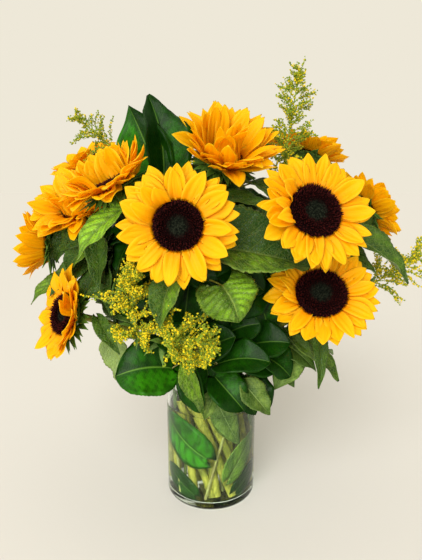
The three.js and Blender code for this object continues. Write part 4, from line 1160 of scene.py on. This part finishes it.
# Goldenrod
# Slim green stems with narrow leaves end in loose plumes: arching twigs crowded with tiny yellow
# flower heads, greener where they are still in bud.
SPRAY_STEM_GIRTH = (1.6, 1.2)
PLUME_GIRTH = (1.2, 0.5)
ARCH_GIRTH = (0.5, 0.25)
SPRIG_GIRTH = (0.28, 0.18)
LANCE_GRID = (13, 5)
LANCE_LEAVES = 9
HEAD_SPACING = 0.00155
HEAD_LENGTH = 1.45
# fuller is how much longer the twigs are at the foot and at the tip. more lists side plumes, each as
# three points of its main twig, the length of its side twigs and their number in threes.
GOLDENRODS = [
    dict(name="front_left", waist=(24.5, -128), root=(-84, -100, 262), control=(-84, -112, 296),
         tip=(-84, -118, 334), spread=40, twigs=11, seed=5, rise=0.6, ripe=0.7, fuller=(1.6, 0.55),
         more=[((-86, -98, 240), (-74, -112, 256), (-44, -122, 272), 24, 7),
               ((-84, -98, 250), (-92, -108, 256), (-104, -114, 258), 20, 5)]),
    dict(name="front", waist=(24.5, -112), root=(-54, -104, 244), control=(-36, -124, 256),
         tip=(2, -132, 250), spread=42, twigs=12, seed=9, rise=0.8, neck=0.12, ripe=0.5,
         fuller=(1.4, 1.1), lowest=228,
         more=[((-54, -106, 244), (-30, -124, 234), (-6, -130, 230), 22, 7)]),
    dict(name="tall", waist=(26, 10), root=(90, 8, 412), control=(95, 4, 478), tip=(107, 0, 552),
         spread=50, twigs=12, seed=15, ripe=0.35),
    dict(name="top_left", waist=(26, 175), root=(-122, 24, 456), control=(-142, 26, 478),
         tip=(-174, 28, 502), spread=24, twigs=8, seed=21, ripe=0.35, fuller=(2.1, 1.8),
         spacing=0.0022),
    dict(name="right", waist=(42.5, 9), root=(198, -20, 290), control=(228, -12, 304),
         tip=(274, -4, 334), spread=38, twigs=10, seed=27, ripe=0.6, fuller=(1.15, 1.5)),
    dict(name="back", waist=(42.5, 98), root=(-20, 118, 372), control=(-26, 134, 408),
         tip=(-32, 150, 452), spread=30, twigs=8, seed=33, ripe=0.7),
]
lance_outline = [(0, 0.2), (0.2, 0.7), (0.45, 1), (0.75, 0.6), (1, 0.02)]


def flower_tree():
    """Twigs with small flower heads crowded along them"""
    tree, names, given = new_tree("plume", "Plume", {
        "Twigs": ("Geometry", None), "Head spacing": ("Float", 0.0011), "Head size": ("Float", 0.00125),
        "Scatter": ("Float", 0.0013), "Seed": ("Int", 1), "Bark": ("Material", None),
        "Flower": ("Material", None)})
    curve = add(tree, "GeometryNodeMeshToCurve", {0: given["Twigs"]})
    ring = add(tree, "GeometryNodeCurvePrimitiveCircle", {"Resolution": 4, "Radius": 1.0})
    bark = add(tree, "GeometryNodeCurveToMesh", {
        "Curve": curve, "Profile Curve": ring, "Scale": named_value(tree, "girth"), "Fill Caps": True})
    bark = add(tree, "GeometryNodeSetMaterial", {0: bark, "Material": given["Bark"]})
    seats = add(tree, "GeometryNodeCurveToPoints", {
        0: curve, "Length": given["Head spacing"]}, mode="LENGTH")
    seed = given["Seed"]
    jump = add(tree, "ShaderNodeVectorMath", {
        0: chance(tree, seed, 1, (-1, -1, -0.6), (1, 1, 1.4)), "Scale": given["Scatter"]},
        operation="SCALE")
    spread = add(tree, "GeometryNodeSetPosition", {0: seats, "Offset": jump})
    head = add(tree, "GeometryNodeMeshUVSphere", {
        "Radius": given["Head size"], "Segments": 4, "Rings": 2})
    spin = add(tree, "FunctionNodeEulerToRotation", {0: chance(tree, seed, 2, (-3, -3, -3), (3, 3, 3))})
    size = chance(tree, seed, 3, 0.45, 1.15)
    long = sums(tree, "MULTIPLY", size, HEAD_LENGTH)
    scale = add(tree, "ShaderNodeCombineXYZ", {0: size, 1: size, 2: long})
    heads = add(tree, "GeometryNodeInstanceOnPoints", {
        "Points": spread, "Instance": head, "Rotation": spin, "Scale": scale})
    keep = add(tree, "GeometryNodeStoreNamedAttribute", {
        0: heads, "Name": "tone", "Value": chance(tree, seed, 4, 0.0, 1.0)},
        data_type="FLOAT", domain="INSTANCE")
    whole = add(tree, "GeometryNodeRealizeInstances", {0: keep})
    flowers = add(tree, "GeometryNodeSetMaterial", {0: whole, "Material": given["Flower"]})
    joined = add(tree, "GeometryNodeJoinGeometry")
    for shape in (bark, flowers):
        tree.links.new(shape.outputs[0], joined.inputs[0])
    tree_end(tree, joined)
    return tree, names


def flower_finish(name, ripe):
    """Green buds and yellow flowers, with more of the yellow in a riper spray"""
    material, tree = new_material(name)
    first = 0.75 - 0.75 * ripe
    colour = mix_colour(tree, ranged(tree, marked(tree, "tone"), first, 1.25 - 0.75 * ripe),
                        (0.25, 0.35, 0.025, 1), (0.9, 0.71, 0.02, 1))
    surface(tree, colour, roughness=0.7, shine=0.1, glow=colour, share=0.25)
    return material


plumes, plume_inputs = flower_tree()
goldenrod_green = stem_finish("goldenrod_green", pale=(0.3, 0.4, 0.07, 1), deep=(0.16, 0.25, 0.04, 1),
                              roughness=0.6)
lance_leaf = leaf_finish(
    "goldenrod_leaf", face=(0.14, 0.27, 0.03, 1), deep=(0.07, 0.16, 0.02, 1),
    vein=(0.3, 0.42, 0.1, 1), pale=(0.2, 0.32, 0.08, 1), roughness=0.5, relief=0.3, shine=0.4)
along_rachis = np.linspace(0, 1, 14)
along_twig = np.linspace(0, 1, 7)


def sideways(along, angle):
    """A unit vector square to along, turned round it by an angle"""
    side = unit(np.cross(along, (0.3, 1, 0.2)))
    return side * math.cos(angle) + np.cross(along, side) * math.sin(angle)


for spray in GOLDENRODS:
    draw = random_source(spray["seed"])
    extra = random_source(spray["seed"] + 700)
    name = "goldenrod_" + spray["name"]
    rachis = [np.array(spray[k], float) for k in ("root", "control", "tip")]
    paths, girths = [], []

    def grow_rachis(rachis, spread, twigs, fuller):
        """A main twig with arching side twigs, each crowded with short sprigs"""
        paths.append(bezier(rachis, along_rachis))
        girths.append(PLUME_GIRTH)
        for i in range(twigs * 3):
            share = (i / 3 + 0.5) / twigs
            start = bezier(rachis, [share * 0.94])[0]
            along = unit((rachis[1] - rachis[0]) * (1 - share) + (rachis[2] - rachis[1]) * share)
            side = sideways(along, i / 3 * 2.4 + draw() * 0.5 + (i % 3) * 2.1)
            fullness = np.interp(share, (0, 1), fuller)
            reach = spread * fullness * (1.08 - 0.72 * share) * (0.72 + draw() * 0.4)
            end = start + side * reach * 0.86 + along * reach * 0.6 - np.array([0, 0, 0.12 * reach])
            end[2] = max(end[2], spray.get("lowest", 0))
            middle = start + side * reach * 0.36 + along * reach * 0.5
            twig = bezier([start, middle, end], along_twig)
            paths.append(twig)
            girths.append(ARCH_GIRTH)
            for k in np.arange(2, 6.5, 0.5):
                low = int(k)
                root = twig[low - 1] * 0.5 + twig[low] * 0.5
                out = unit(twig[low] - twig[low - 1])
                off = unit(np.cross(out, (extra() - 0.5, extra() - 0.5, extra() - 0.5)))
                size = (9.5 - k) * (0.5 + extra() * 0.7) * spread / 32
                end = root + off * size * 0.8 + out * size * 0.95 + np.array([0, 0, size * 0.15])
                paths.append(np.array([root, root + off * size * 0.5 + out * size * 0.4, end]))
                girths.append(SPRIG_GIRTH)

    grow_rachis(rachis, spray["spread"], spray["twigs"], spray.get("fuller", (1, 1)))
    for *side_rachis, spread, twigs in spray.get("more", []):
        grow_rachis([np.array(corner, float) for corner in side_rachis], spread, twigs, (1, 1))
    plume = grown(name + "_flowers", *chains(paths, girths), plumes, plume_inputs, {
        "Seed": spray["seed"], "Head spacing": spray.get("spacing", HEAD_SPACING),
        "Bark": goldenrod_green, "Flower": flower_finish(name, spray["ripe"])})
    finish_piece(plume, "goldenrod_yellow", name + "_plume")

    draw = random_source(spray["seed"] + 900)
    facing = unit(rachis[1] - rachis[0])
    path = stem_path(stem_curve(spray, rachis[0] - facing * 0.7, facing))
    stem = grown(name + "_stalk", *chains([path], [SPRAY_STEM_GIRTH]), stalks, stalk_inputs,
                 {**SLIM, "Skin": goldenrod_green})
    parts = []
    for i in range(LANCE_LEAVES):
        k = min(14 + i * 2, 29)
        along = unit(path[min(k + 1, len(path) - 1)] - path[k - 1])
        side = sideways(along, i * 2.4 + draw())
        leaf = dict(base=path[k], tip=path[k] + side * 20 + along * 20, up=along - side, half=3.2,
                    teeth=0, quilt=0, wave=0.3, lobe=0, droop=0.2)
        parts.append(leaf_part(leaf, draw, lance_outline, LANCE_GRID))
    narrow = blades_object(name + "_leaves", parts, lance_leaf)
    for piece in (stem, narrow):
        finish_piece(piece, "goldenrod_green", name + "_stem")

# Studio
# A plain cream floor that runs out to a cream surround, one broad soft light from the front and
# upper left, a weak round lamp at the front left, and the camera a little above the blooms.
FLOOR_REACH = 30000
scene = bpy.context.scene
scene.view_settings.view_transform = "Standard"
floor_material, floor_tree = new_material("studio_floor")
surface(floor_tree, (0.654, 0.64, 0.613, 1), roughness=0.9, shine=0.0)
floor_corners = [(FLOOR_REACH * x, FLOOR_REACH * y, 0) for x, y in ((-1, -1), (1, -1), (1, 1), (-1, 1))]
floor = mesh_object("studio_floor", floor_corners, [[0, 1, 2, 3]], floor_material, smooth=False)

world = bpy.data.worlds.new("studio_air")
world.use_nodes = True
scene.world = world
air = world.node_tree.nodes["Background"].inputs
air["Color"].default_value = (0.855, 0.807, 0.687, 1)
air["Strength"].default_value = 1.0


def lamp(name, kind, energy, colour, pointing):
    made = bpy.data.objects.new(name, bpy.data.lights.new(name, kind))
    made.data.energy = energy
    made.data.color = colour
    made.rotation_euler = Vector(pointing).to_track_quat("-Z", "Y").to_euler()
    scene.collection.objects.link(made)
    return made


key = lamp("key_light", "SUN", energy=2.6, colour=(1.0, 0.985, 0.95), pointing=(0.27, 0.79, -0.55))
key.data.angle = math.radians(42)
fill = lamp("fill_light", "AREA", energy=3.5, colour=(1.0, 0.97, 0.9), pointing=(0.6, 1.4, -0.09))
fill.location = (-0.6, -1.4, 0.42)
fill.data.shape = "DISK"
fill.data.size = 0.8
fill.data.spread = math.radians(100)

camera = bpy.data.objects.new("camera", bpy.data.cameras.new("camera"))
camera.location = (0, -0.614, 0.414)
camera.rotation_euler = (math.radians(79), 0, 0)
camera.data.lens = 30.857
scene.collection.objects.link(camera)
scene.camera = camera
